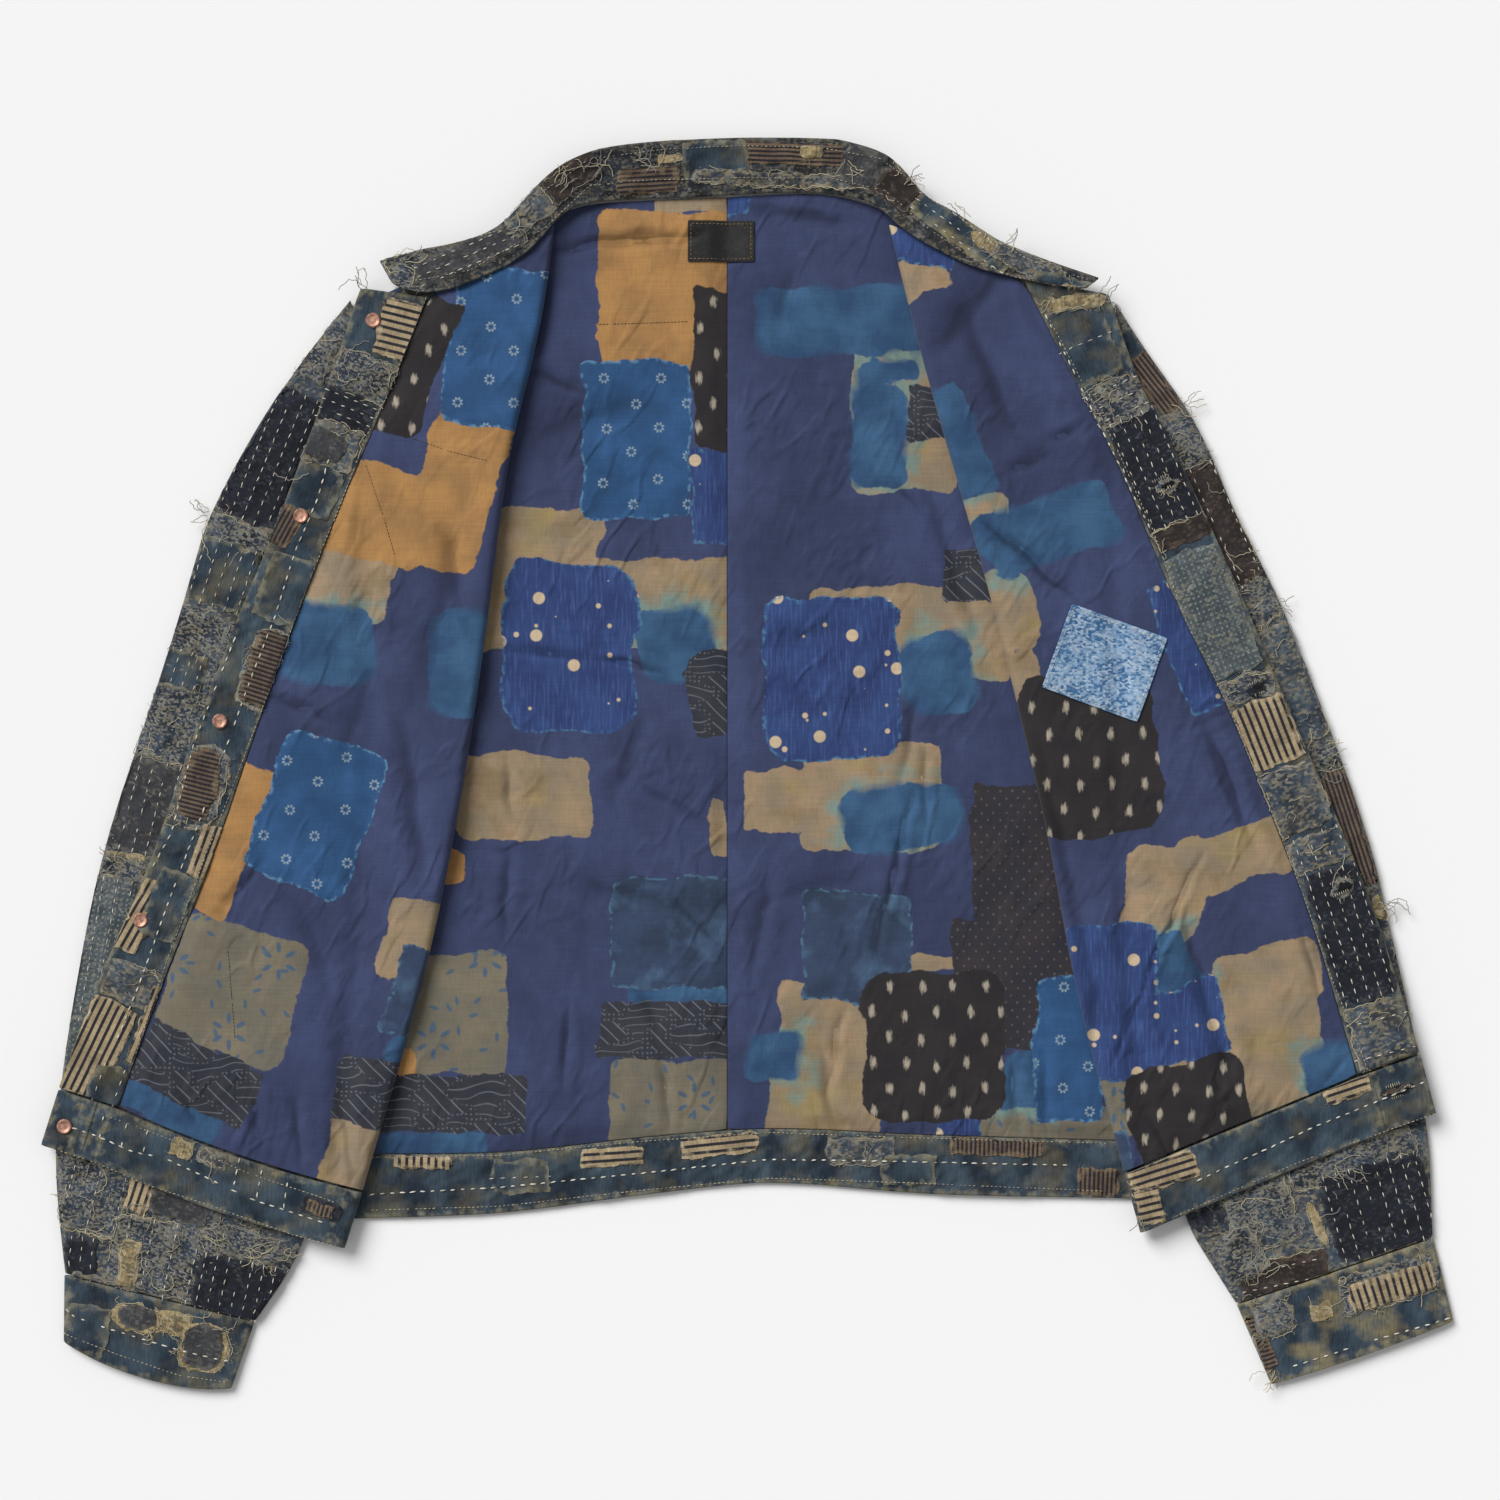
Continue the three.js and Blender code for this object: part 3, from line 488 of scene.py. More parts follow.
@dataclass(frozen=True)
class PrintedLining(Finish):
    """Plain-woven cotton lining, pigment printed: matt, with a slight slub and torn-looking edges."""

    ground: str = "#394162"
    shade: str = "#2f3651"
    wet: str = "#64837f"
    warp_mm: float = 1.3

    def paint(self, tree: Tree) -> tuple[Socket, Socket]:
        """Lays the printed patches on the indigo ground, one layer after another.

        Args:
            tree: The material's node tree.

        Returns:
            Colour and height sockets.
        """
        mm = millimetres(tree, depth=0.0)
        fade = span(tree, grain(tree, mm, 80, 80, 5.0), 0.34, 0.66)
        colour = blend(tree, fade, self.shade, self.ground)
        uneven = span(tree, grain(tree, mm, 9, 14, 4.0, 14), 0.0, 1.0, 0.84, 1.16)
        colour = scaled(tree, colour, uneven)
        slow = reckon(tree, "MULTIPLY_ADD", grain(tree, mm, 24, 24, 2.0, 1), 9.0, -5.7)
        rag = reckon(tree, "MULTIPLY_ADD", grain(tree, mm, 4.0, 4.0, 4.0, 2), 2.4, slow)
        pale = 0.0
        for layer in PRINT_LAYERS:
            far = stored(tree, layer.print.value)
            far = reckon(tree, "ADD", far, rag)
            if layer.bleed_mm:
                colour = self.bled(tree, mm, far, pale, colour)
            inside = self.inside(tree, mm, far, layer)
            if layer.print in (Print.TAN, Print.LEAF):
                pale = reckon(tree, "MAXIMUM", inside, pale)
            ink = self.ink(tree, mm, far, layer)
            colour = blend(tree, inside, colour, ink)
        # The weave is drawn several threads thick, because single threads are too fine to show.
        weft = grain(tree, mm, 26.0, self.warp_mm, 2.0, 3)
        warp = grain(tree, mm, self.warp_mm, 8.0, 2.0, 4)
        weave = reckon(tree, "ADD", weft, warp)
        lift = span(tree, weave, 0.7, 1.3, 0.93, 1.07)
        colour = scaled(tree, colour, lift)
        # Painted shade: the troughs of creases and puckers are darkened in the colour, where shade would
        # fall.
        deep = stored(tree, CREASE_SHADE)
        painted_darkening = span(tree, deep, 0.0, 1.0, 1.0, 0.55)
        colour = scaled(tree, colour, painted_darkening)
        wrinkle = self.wrinkles(tree, mm)
        return colour, reckon(tree, "MULTIPLY_ADD", weave, 0.1, wrinkle)

    def wrinkles(self, tree: Tree, mm: Socket) -> Socket:
        """Draws the small soft wrinkles of washed cotton, in some places only, and returns their height."""
        slant = add(tree, "ShaderNodeMapping", {"Vector": mm, "Rotation": (0.0, 0.0, 0.5)})
        slack = reckon(tree, "SUBTRACT", grain(tree, slant, 26, 60, 2.0, 15), 0.5)
        slack = reckon(tree, "ABSOLUTE", slack)
        ridge = {"Value": slack, 1: 0.11, 2: 0.0}
        ridge = add(tree, "ShaderNodeMapRange", ridge, interpolation_type="SMOOTHSTEP")
        some = span(tree, grain(tree, mm, 70, 70, 1.0, 16), 0.4, 0.62)
        return reckon(tree, "MULTIPLY", ridge, some)

    def bled(self, tree: Tree, mm: Socket, far: Socket, pale: Socket, colour: Socket) -> Socket:
        """Lets dye creep from a wet print into the pale cloth beside it, and returns the colour."""
        reach = reckon(tree, "MULTIPLY_ADD", grain(tree, mm, 16, 16, 5.0, 5), 46.0, far)
        share = span(tree, reach, 34.0, 21.0, end=0.75)
        share = reckon(tree, "MULTIPLY", share, pale)
        return blend(tree, share, colour, self.wet)

    def inside(self, tree: Tree, mm: Socket, far: Socket, row: PrintLayer) -> Socket:
        """Masks the inside of a patch, with a crisp edge or one that bleeds here and there."""
        soft = 0.4
        if row.bleed_mm:
            damp = grain(tree, mm, 30, 30, 2.0, 6)
            soft = span(tree, damp, 0.45, 0.6, 0.5, row.bleed_mm)
        share = reckon(tree, "DIVIDE", far, soft)
        return span(tree, share, 1.0, -1.0)

    def ink(self, tree: Tree, mm: Socket, far: Socket, row: PrintLayer) -> Socket:
        """Paints the inside of one printed cloth.

        Args:
            tree: The material's node tree.
            mm: Place on the cloth, in millimetres.
            far: Distance from the patch's edge, in millimetres.
            row: The printed cloth.

        Returns:
            Its colour.
        """
        cloudy = span(tree, grain(tree, mm, 26, 26, 5.0, 7), 0.36, 0.64)
        ink = blend(tree, cloudy, row.tint, row.ground)
        if row.stain:
            stain = span(tree, grain(tree, mm, 34, 34, 4.0, 8), 0.56, 0.76, end=0.5)
            ink = blend(tree, stain, ink, row.stain)
        if row.streak:
            streak = span(tree, grain(tree, mm, 1.5, 18, 2.0, 9), 0.5, 0.7, end=0.6)
            ink = blend(tree, streak, ink, row.streak)
        if row.motif is not Motif.NONE:
            drawn = self.figure(tree, mm, row)
            ink = blend(tree, drawn, ink, row.figure)
        if row.edge:
            rim = span(tree, far, -2.2, -0.5, end=0.8)
            thread = span(tree, grain(tree, mm, 5, 5, 2.0, 10), 0.45, 0.6)
            rim = reckon(tree, "MULTIPLY", rim, thread)
            ink = blend(tree, rim, ink, row.edge)
        return ink

    def figure(self, tree: Tree, mm: Socket, row: PrintLayer) -> Socket:
        """Draws a traditional figure and returns its mask."""
        if row.motif is Motif.SPECKS:
            specks = grain(tree, mm, 24, 24, 7.0, 11)
            return span(tree, specks, 0.54, 0.72, end=0.6)
        if row.motif is Motif.LINES:
            return self.lines(tree, mm)
        if row.motif is Motif.SPOTS:
            return self.spots(tree, mm)
        off = self.lattice(tree, mm, row)
        if row.motif is Motif.DOTS:
            shape = (1 / row.wide_mm, 1 / row.tall_mm, 0.0)
            far = combined(tree, "MULTIPLY", off, shape)
            far = length(tree, far)
            frayed = reckon(tree, "MULTIPLY_ADD", grain(tree, mm, 1.4, 5.0, 2.0, 12), 1.3, far)
            return span(tree, frayed, 1.75, 1.1)
        if row.motif is Motif.RINGS:
            return self.petals(tree, off, count=8, reach=2.5, wide=0.75, long=1.0)
        return self.leaves(tree, mm, off)

    def lattice(self, tree: Tree, mm: Socket, row: PrintLayer) -> Socket:
        """Gives the way from the nearest point of staggered rows, in millimetres."""
        half = math.sqrt(0.5)
        scale = (2 * half / row.column_mm, half / row.row_mm, 1.0)
        # A square lattice turned by 45 degrees gives staggered rows.
        slant = math.pi / 4
        grid = {"Vector": mm, "Scale": scale, "Rotation": (0, 0, -slant)}
        grid = add(tree, "ShaderNodeMapping", grid)
        centre = cells(tree, grid, 1.0, 0.16, "Position")
        off = combined(tree, "SUBTRACT", grid, centre)
        off = add(tree, "ShaderNodeVectorRotate", {"Vector": off, "Angle": slant}, rotation_type="Z_AXIS")
        return combined(tree, "MULTIPLY", off, (1 / scale[0], 1 / scale[1], 0))

    def petals(self, tree: Tree, off: Socket, count: int, reach: float, wide: float, long: float) -> Socket:
        """Draws a ring of petals round a point.

        Args:
            tree: The material's node tree.
            off: Way from the point, in millimetres.
            count: Petals in the ring.
            reach: Distance of the petals' middles, in millimetres.
            wide: Half width of a petal, in millimetres.
            long: Half length of a petal, in millimetres.

        Returns:
            Mask from 0 to 1.
        """
        far = length(tree, off)
        x = add(tree, "ShaderNodeSeparateXYZ", {0: off}, out="X")
        y = add(tree, "ShaderNodeSeparateXYZ", {0: off}, out="Y")
        turn = reckon(tree, "ARCTAN2", y, x)
        turn = reckon(tree, "MULTIPLY_ADD", turn, count / (2 * math.pi), 9.0)
        turn = reckon(tree, "FRACT", turn)
        turn = reckon(tree, "SUBTRACT", turn, 0.5)
        side = reckon(tree, "MULTIPLY", turn, far)
        side = reckon(tree, "MULTIPLY", side, 2 * math.pi / (count * wide))
        run = reckon(tree, "MULTIPLY_ADD", far, 1 / long, -reach / long)
        shape = add(tree, "ShaderNodeCombineXYZ", {0: side, 1: run})
        shape = length(tree, shape)
        return span(tree, shape, 1.2, 0.75, end=0.85)

    def leaves(self, tree: Tree, mm: Socket, off: Socket) -> Socket:
        """Draws open flowers of six leaves, with loose leaves strewn between them, and returns the mask."""
        chance = channel(tree, cells(tree, mm, 15, 1.0, "Color"), "Red")
        way = combined(tree, "SUBTRACT", mm, cells(tree, mm, 15, 1.0, "Position"))
        angle = reckon(tree, "MULTIPLY", chance, 40.0)
        way = add(tree, "ShaderNodeVectorRotate", {"Vector": way, "Angle": angle}, rotation_type="Z_AXIS")
        way = combined(tree, "MULTIPLY", way, (1 / 3.0, 1 / 1.2, 0.0))
        far = length(tree, way)
        loose = span(tree, far, 1.2, 0.8, end=0.8)
        kept = reckon(tree, "GREATER_THAN", chance, 0.45)
        loose = reckon(tree, "MULTIPLY", loose, kept)
        flower = self.petals(tree, off, count=6, reach=8.5, wide=1.5, long=3.4)
        return reckon(tree, "MAXIMUM", loose, flower)

    def spots(self, tree: Tree, mm: Socket) -> Socket:
        """Draws round resist spots, a few large and some small, and returns the mask."""
        masks = []
        for size, share, largest in ((25.0, 0.55, 3.8), (13.0, 0.78, 1.8)):
            far = cells(tree, mm, size, 0.85, "Distance")
            chance = channel(tree, cells(tree, mm, size, 0.85, "Color"), "Red")
            reach = span(tree, chance, share, share + 0.2, 0.8, -largest)
            gap = reckon(tree, "MULTIPLY_ADD", far, size, reach)
            masks.append(span(tree, gap, 0.4, -0.4))
        return reckon(tree, "MAXIMUM", masks[0], masks[1])

    def lines(self, tree: Tree, mm: Socket) -> Socket:
        """Draws swirls, slanting bands and fine dots side by side, and returns the mask."""
        wave = {"Vector": mm, "Scale": 0.06, "Distortion": 13.0, "Detail": 1.0, "Detail Scale": 0.5}
        swirl = add(tree, "ShaderNodeTexWave", wave, out="Fac", bands_direction="Y")
        swirl = span(tree, swirl, 0.93, 0.99, end=0.8)
        bands = {"Vector": mm, "Scale": 0.07, "Distortion": 0.8, "Detail": 0.0}
        bands = add(tree, "ShaderNodeTexWave", bands, out="Fac", bands_direction="DIAGONAL")
        bands = span(tree, bands, 0.93, 0.99)
        dots = span(tree, cells(tree, mm, 3, 0.3, "Distance"), 0.3, 0.15, end=0.7)
        first = span(tree, grain(tree, mm, 26, 15, 0.0, 13), 0.55, 0.57)
        second = span(tree, grain(tree, mm, 26, 15, 0.0, 13), 0.45, 0.47)
        lower = add(tree, "ShaderNodeMix", {0: second, 2: bands, 3: dots}, data_type="FLOAT")
        return add(tree, "ShaderNodeMix", {0: first, 2: lower, 3: swirl}, data_type="FLOAT")


@dataclass(frozen=True)
class ThreadFinish(Finish):
    """Soft-spun cotton thread: matt and fluffy, each thread a little different in tone."""

    pale: str = "#bfb8a6"
    deep: str = "#87826f"

    def paint(self, tree: Tree) -> tuple[Socket, Socket]:
        """Gives each thread its own tone and returns colour and height."""
        island = add(tree, "ShaderNodeNewGeometry", out="Random Per Island")
        colour = blend(tree, island, self.deep, self.pale)
        return colour, island


@dataclass(frozen=True)
class CopperTack(Finish):
    """Pressed copper tack back, bare and tumbled: warm and half dulled."""

    bright: str = "#c39582"
    dull: str = "#94705f"

    def metallic(self) -> float:
        """Bare copper is nearly all metal under its dull skin."""
        return 0.75

    def paint(self, tree: Tree) -> tuple[Socket, Socket]:
        """Clouds the bright copper with dull spots and returns colour and height."""
        mm = millimetres(tree)
        spots = grain(tree, mm, 2.5, 2.5, 4.0)
        share = span(tree, spots, 0.4, 0.66)
        colour = blend(tree, share, self.bright, self.dull)
        return colour, spots


@dataclass(frozen=True)
class StudioFloor(Finish):
    """Matt white paper sweep: nearly flat, with the faintest tooth."""

    paper: str = "#e6e6e6"

    def paint(self, tree: Tree) -> tuple[Socket, Socket]:
        """Shades the paper very slightly and returns colour and height."""
        mm = millimetres(tree)
        tooth = grain(tree, mm, 6, 6, 2.0)
        light = span(tree, tooth, 0.0, 1.0, 0.99, 1.0)
        colour = scaled(tree, linear(self.paper)[:3], light)
        return colour, tooth


# Places and undersides of the copper tacks, which stay clear of patches.
TACK_CLEAR = 5.6 * MM
TACKS = [
    (*np.mean(node.bound_box, axis=0)[:2], np.min(node.bound_box, axis=0)[2])
    for name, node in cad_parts.items()
    if name.startswith("tack_button")
]
WELD = 1e-6
# Angles in radians between faces that are joined and at a rim, and how firmly a rim keeps its shape.
FLAT_ANGLE = 0.6
RIM_ANGLE = 0.9
RIM_CREASE = 0.85
RIM_STEP = 4 * MM
# Angles in degrees from which an edge of cloth and of a patch looks sharp.
CLOTH_SHARP = 55
LID_SHARP = 75
FAR_AWAY_MM = 500.0
# A printed edge wanders slowly by this much.
PATCH_WANDER_MM = 1.7
PATCH_WANDER_WAVE = 48 * MM
# A crease wanders, fades to its ends and has a softer ridge some widths beside it.
CREASE_WANDER_MM = 1.6
CREASE_WANDER_WAVE = 30 * MM
END_STRENGTH = 0.35
SOFT_END_MM = 7
RIDGE_SHARE = 0.6
RIDGE_AWAY = 2.0
RIDGE_WIDTH = 1.5
# The mesh is fine this many widths and millimetres from a narrow crease.
NEAR_WIDTHS = 2.4
NEAR_MM = 4.0
# Puckers start a little after a seam's end, lean, drift with the distance and come in patches.
GATHER_END = 30 * MM
GATHER_LEAN = 0.3
GATHER_LEAN_WAVE = 120 * MM
GATHER_DRIFT = 0.15
GATHER_PATCHY_WAVE = 90 * MM
GATHER_MEAN = 0.3
GATHER_CALM_MM = 5
# Threads lie this high on the cloth.
STITCH_LIFT = Vector((0, 0, 0.25 * MM))
ROW_LIFT = Vector((0, 0, 0.2 * MM))
# A full turn in radians, rounded, for the phases of uneven edges.
TURN = 6.28
# How round an oval patch is, and how far apart the weaves of two patches start, in metres.
ROUNDING = 0.8
LAYOUT_STEP_X = 0.037
LAYOUT_STEP_Y = 0.053
# How thick a patch is at its very edge, as a share.
RIM_THICK = 0.55
# A row of stitches ends a little inside its patch, and is laid in steps of this length.
ROW_SHARE = 0.95
ROWS_SPREAD = 0.98
ROW_STEP = 1.5 * MM
# A patch's edge wanders in this many waves of these lengths.
EDGE_WAVES = 6
EDGE_WAVES_MM = (9, 26)
# Frayed ends point outwards and a little up, and fewer of them show where no cloth lies below.
FRAY_OUT = 0.5
FRAY_UP = 0.08
BARE_SHARE = 0.6
# Frayed ends reach this far, and cloth that frays from this share on also sheds loose threads.
END_REACH = 5 * MM
LOOSE_FROM = 0.4
LOOSE_ARCS = 4
TANGLE_MM = (9, 26)
# A stray thread is laid in steps of this length and bends by this many radians at most.
THREAD_STEP_MM = 2
THREAD_BEND = 0.34


def patch_reach(patch: Patch, points: Points, seed: int) -> Points:
    """Measures how far places lie from a printed patch's edge.

    Args:
        patch: The printed patch.
        points: Places on the cloth, in metres.
        seed: Seed of the edge's slow wander.

    Returns:
        Distance in millimetres, below zero inside the patch.
    """
    x, y = spot((patch.left + patch.right) / 2, (patch.top + patch.low) / 2)
    corner = patch.corner * PHOTO_SCALE
    half_x = (patch.right - patch.left) / 2 * PHOTO_SCALE - corner
    half_y = (patch.low - patch.top) / 2 * PHOTO_SCALE - corner
    turn = math.radians(patch.turn)
    dx, dy = points[:, 0] - x, points[:, 1] - y
    over_x = np.abs(dx * math.cos(turn) + dy * math.sin(turn)) - half_x
    over_y = np.abs(dy * math.cos(turn) - dx * math.sin(turn)) - half_y
    outside = np.hypot(np.maximum(over_x, 0), np.maximum(over_y, 0))
    far = outside + np.minimum(np.maximum(over_x, over_y), 0) - corner
    return far / MM + PATCH_WANDER_MM * rumple(points, PATCH_WANDER_WAVE, seed)


def along_line(mark: Crease | Gather, points: Points) -> tuple[Points, Points, float]:
    """Measures places along a crease or a gathered seam, and beside it.

    Args:
        mark: The crease or the seam.
        points: Places on the cloth, in metres.

    Returns:
        Distance along it, distance beside it and its length, in metres.
    """
    start, end = np.array(spot(mark.x0, mark.y0)), np.array(spot(mark.x1, mark.y1))
    length = np.hypot(*(end - start))
    run = (end - start) / length
    off = points[:, :2] - start
    return off @ run, off @ np.array((-run[1], run[0])), length


def crease_rise(crease: Crease, points: Points, seed: int) -> Points:
    """Shapes a pressed crease as a trough with a softer ridge beside it.

    Args:
        crease: The crease.
        points: Places on the cloth, in metres.
        seed: Seed of its slow wander.

    Returns:
        Rise in millimetres.
    """
    along, beside, length = along_line(crease, points)
    side = beside / MM + CREASE_WANDER_MM * rumple(points, CREASE_WANDER_WAVE, seed)
    place = np.clip(along / length, 0, 1)
    beyond = np.abs(along - place * length) / MM
    strength = END_STRENGTH + (1 - END_STRENGTH) * np.sin(math.pi * place) ** 0.8
    strength = strength * np.exp(-((beyond / SOFT_END_MM) ** 2))
    valley = -np.exp(-((side / crease.width) ** 2))
    ridge = (side - RIDGE_AWAY * crease.width) / (RIDGE_WIDTH * crease.width)
    return crease.depth * strength * (valley + RIDGE_SHARE * np.exp(-(ridge**2)))


def near_crease(crease: Crease, places: Points) -> Points:
    """Tells which places lie close enough to a crease to need a fine mesh."""
    along, beside, length = along_line(crease, places)
    far = np.hypot(beside, along - np.clip(along, 0.0, length))
    return far < (NEAR_WIDTHS * crease.width + NEAR_MM) * MM


def flat_layout(mesh: bpy.types.Mesh, layout: Points) -> None:
    """Stores a flat layout in metres, one row for each vertex, as the weave's UV map."""
    owners = np.zeros(len(mesh.loops), dtype=np.int32)
    mesh.loops.foreach_get("vertex_index", owners)
    uv = mesh.uv_layers.new(name=UV_NAME)
    uv.data.foreach_set("uv", layout[owners].astype(np.float32).ravel())


def placed(name: str, mesh: bpy.types.Mesh) -> bpy.types.Object:
    """Puts a mesh in the scene as an object of that name."""
    piece = bpy.data.objects.new(name, mesh)
    bpy.context.scene.collection.objects.link(piece)
    return piece


def settled(piece: bpy.types.Object) -> bpy.types.Object:
    """Turns an object with modifiers into a plain mesh of the same name."""
    bpy.context.view_layer.update()
    graph = bpy.context.evaluated_depsgraph_get()
    made = piece.evaluated_get(graph)
    mesh = bpy.data.meshes.new_from_object(made, preserve_all_data_layers=True, depsgraph=graph)
    piece.modifiers.clear()
    piece.data = mesh
    return piece


def subdivided(name: str, mesh: bpy.types.Mesh, levels: int) -> bpy.types.Object:
    """Subdivides a mesh smoothly and returns it as a plain object."""
    piece = placed(name, mesh)
    smooth = piece.modifiers.new("smooth", "SUBSURF")
    smooth.levels = levels
    smooth.render_levels = levels
    settled(piece)
    return piece


class Ground:
    """Cloth that patches, stitches and threads lie on."""

    def __init__(self, mesh: bpy.types.Mesh) -> None:
        """Starts with the piece's own cloth."""
        self.trees: list[BVHTree] = []
        self.cover(corners(mesh), [tuple(face.vertices) for face in mesh.polygons])

    def cover(self, points: Points, faces: list[tuple[int, ...]]) -> None:
        """Adds one more layer of cloth."""
        self.trees.append(BVHTree.FromPolygons([tuple(p) for p in points], faces))

    def covers(self, x: float, y: float) -> bool:
        """Tells whether there is cloth at a place."""
        return self.trees[0].ray_cast(Vector((x, y, 1.0)), Vector((0.0, 0.0, -1.0)))[0] is not None

    def drop(self, x: float, y: float) -> Vector:
        """Finds where something let fall at a place comes to lie, on the edge if it misses the cloth."""
        best = None
        for tree in self.trees:
            hit = tree.ray_cast(Vector((x, y, 1.0)), Vector((0.0, 0.0, -1.0)))[0]
            if hit and (best is None or hit.z > best.z):
                best = hit
        if best is None:
            best = self.trees[0].find_nearest(Vector((x, y, 0.02)))[0]
        return best


def gather_rise(gather: Gather, points: Points, seed: int) -> Points:
    """Shapes the puckers that a seam draws into the cloth beside it.

    Args:
        gather: The gathered seam.
        points: Places on the cloth, in metres.
        seed: Seed of the puckers' spacing.

    Returns:
        Rise in millimetres.
    """
    along, beside, length = along_line(gather, points)
    side = np.abs(beside)
    ends = fall(along / GATHER_END) * fall((length - along) / GATHER_END)
    lean = along + GATHER_LEAN * side * rumple(points, GATHER_LEAN_WAVE, seed + 1)
    waves = np.abs(rumple(np.column_stack((lean, GATHER_DRIFT * side)), gather.wave * MM, seed))
    uneven = 0.5 + 0.5 * fall(0.5 + rumple(points, GATHER_PATCHY_WAVE, seed + 2))
    fading = np.exp(-((side / (gather.reach * MM)) ** 1.5))
    return gather.depth * (waves - GATHER_MEAN) * uneven * ends * fading


@dataclass
class ClothShell:
    """One cut piece of cloth: a dense thin wall on its solid's form, with swells, puckers and creases."""

    node: str
    slot: str
    finish: Finish
    levels: int = 2
    swell_mm: float = 0.5
    swell_wave_mm: float = 80.0
    pucker_mm: float = 0.15
    pucker_wave_mm: float = 14.0
    calm_mm: float = 14.0
    loft_mm: float = 0.0
    sink_mm: float = 1.0
    creases: tuple[Crease, ...] = ()
    gathers: tuple[Gather, ...] = ()
    patches: tuple[Patch, ...] = ()
    rests_on: tuple[str, ...] = ("floor",)
    carried_by: tuple[tuple[Ground, Ground], ...] = ()
    split_top: bool = False
    seed: int = 1
    rim: list[Vector] = field(default_factory=list)

    def build(self) -> bpy.types.Object:
        cloth = self.dense()
        if self.split_top:
            self.refine(cloth.data)
        self.shape(cloth.data)
        cloth.data.shade_smooth()
        cloth.data.set_sharp_from_angle(angle=math.radians(CLOTH_SHARP))
        self.lay_out(cloth.data)
        cloth.data.materials.append(self.finish.material())
        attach(cloth, "root")
        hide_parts(self.node)
        log.info("%s: %d faces", cloth.name, len(cloth.data.polygons))
        return cloth

    def dense(self) -> bpy.types.Object:
        """Copies the solid, joins its triangles, keeps its rims, subdivides it and returns the object."""
        form = bmesh.new()
        form.from_mesh(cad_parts[self.node].data)
        bmesh.ops.remove_doubles(form, verts=form.verts[:], dist=WELD)
        bmesh.ops.join_triangles(
            form, faces=form.faces[:], angle_face_threshold=FLAT_ANGLE, angle_shape_threshold=math.pi
        )
        crease = form.edges.layers.float.new("crease_edge")
        for edge in form.edges:
            if len(edge.link_faces) == 2 and edge.calc_face_angle(0.0) > RIM_ANGLE:
                edge[crease] = RIM_CREASE
                first, last = edge.verts[0].co, edge.verts[1].co
                count = max(1, int((last - first).length / RIM_STEP))
                self.rim += [first.lerp(last, i / count) for i in range(count)]
        rough = bpy.data.meshes.new(self.node + "_form")
        form.to_mesh(rough)
        form.free()
        return subdivided(self.node + "_cloth", rough, self.levels)

    def refine(self, mesh: bpy.types.Mesh) -> None:
        """Splits the upper side once more, and in three again beside the narrow creases."""
        form = bmesh.new()
        form.from_mesh(mesh)
        bmesh.ops.subdivide_edges(form, edges=self.upper(form), cuts=1, use_grid_fill=True)
        narrow = [crease for crease in self.creases if crease.width < NARROW_MM]
        if narrow:
            form.normal_update()
            edges = self.upper(form)
            middles = np.array([(edge.verts[0].co + edge.verts[1].co)[:2] for edge in edges]) / 2
            near = np.any([near_crease(crease, middles) for crease in narrow], axis=0)
            close = [edge for edge, chosen in zip(edges, near) if chosen]
            bmesh.ops.subdivide_edges(form, edges=close, cuts=2, use_grid_fill=True)
        form.to_mesh(mesh)
        form.free()

    def upper(self, form: bmesh.types.BMesh) -> list[bmesh.types.BMEdge]:
        """Gives the edges of the faces that look up."""
        return list({edge for face in form.faces if face.normal.z > 0.5 for edge in face.edges})

    def shape(self, mesh: bpy.types.Mesh) -> None:
        """Moves the cloth up and down by its swells, puckers and creases, calm at its seams."""
        points = corners(mesh)
        tree = KDTree(len(self.rim))
        for i, place in enumerate(self.rim):
            tree.insert((place.x, place.y, 0), i)
        tree.balance()
        seam = np.array([tree.find((x, y, 0))[2] for x, y, _ in points]) / MM
        point_values(mesh, SEAM, seam)
        for form, dressed in self.carried_by:
            for point in points:
                x, y, _ = point
                if dressed.covers(x, y):
                    point[2] += dressed.drop(x, y).z - form.drop(x, y).z
        rise = self.loft_mm + self.swell_mm * rumple(points, self.swell_wave_mm * MM, self.seed)
        rise += self.pucker_mm * rumple(points, self.pucker_wave_mm * MM, self.seed + 50)
        folds = np.zeros(len(points))
        shade = np.zeros(len(points))
        for i, crease in enumerate(self.creases):
            folds += crease_rise(crease, points, self.seed + i)
            sharp = replace(crease, width=SHADE_WIDTH * crease.width)
            shade += crease_rise(sharp, points, self.seed + i)
        rise = (rise + folds) * fall(seam / self.calm_mm)
        for i, gather in enumerate(self.gathers):
            puckers = gather_rise(gather, points, self.seed + 20 * i) * fall(seam / GATHER_CALM_MM)
            rise += puckers
            shade += puckers
        # Stores the painted shade of creases and puckers, darkest in their troughs.
        point_values(mesh, CREASE_SHADE, np.clip(-shade / DARKEST_MM, -1.0, 1.0))
        for x, y, _ in TACKS:
            near = np.hypot(points[:, 0] - x, points[:, 1] - y) < TACK_CLEAR
            rise[near] = np.minimum(rise[near], 0.0)
        points[:, 2] = np.maximum(points[:, 2] + np.maximum(rise, -self.sink_mm) * MM, 0.0)
        mesh.vertices.foreach_set("co", points.astype(np.float32).ravel())
        mesh.update()

    def lay_out(self, mesh: bpy.types.Mesh) -> None:
        """Stores the flat layout of the cloth and how far each printed patch is."""
        points = corners(mesh)
        flat_layout(mesh, points[:, :2])
        if not self.patches:
            return
        for kind in Print:
            far = np.full(len(points), FAR_AWAY_MM)
            for i, patch in enumerate(self.patches):
                if patch.print is kind:
                    far = np.minimum(far, patch_reach(patch, points, i + self.seed))
            point_values(mesh, kind.value, far)


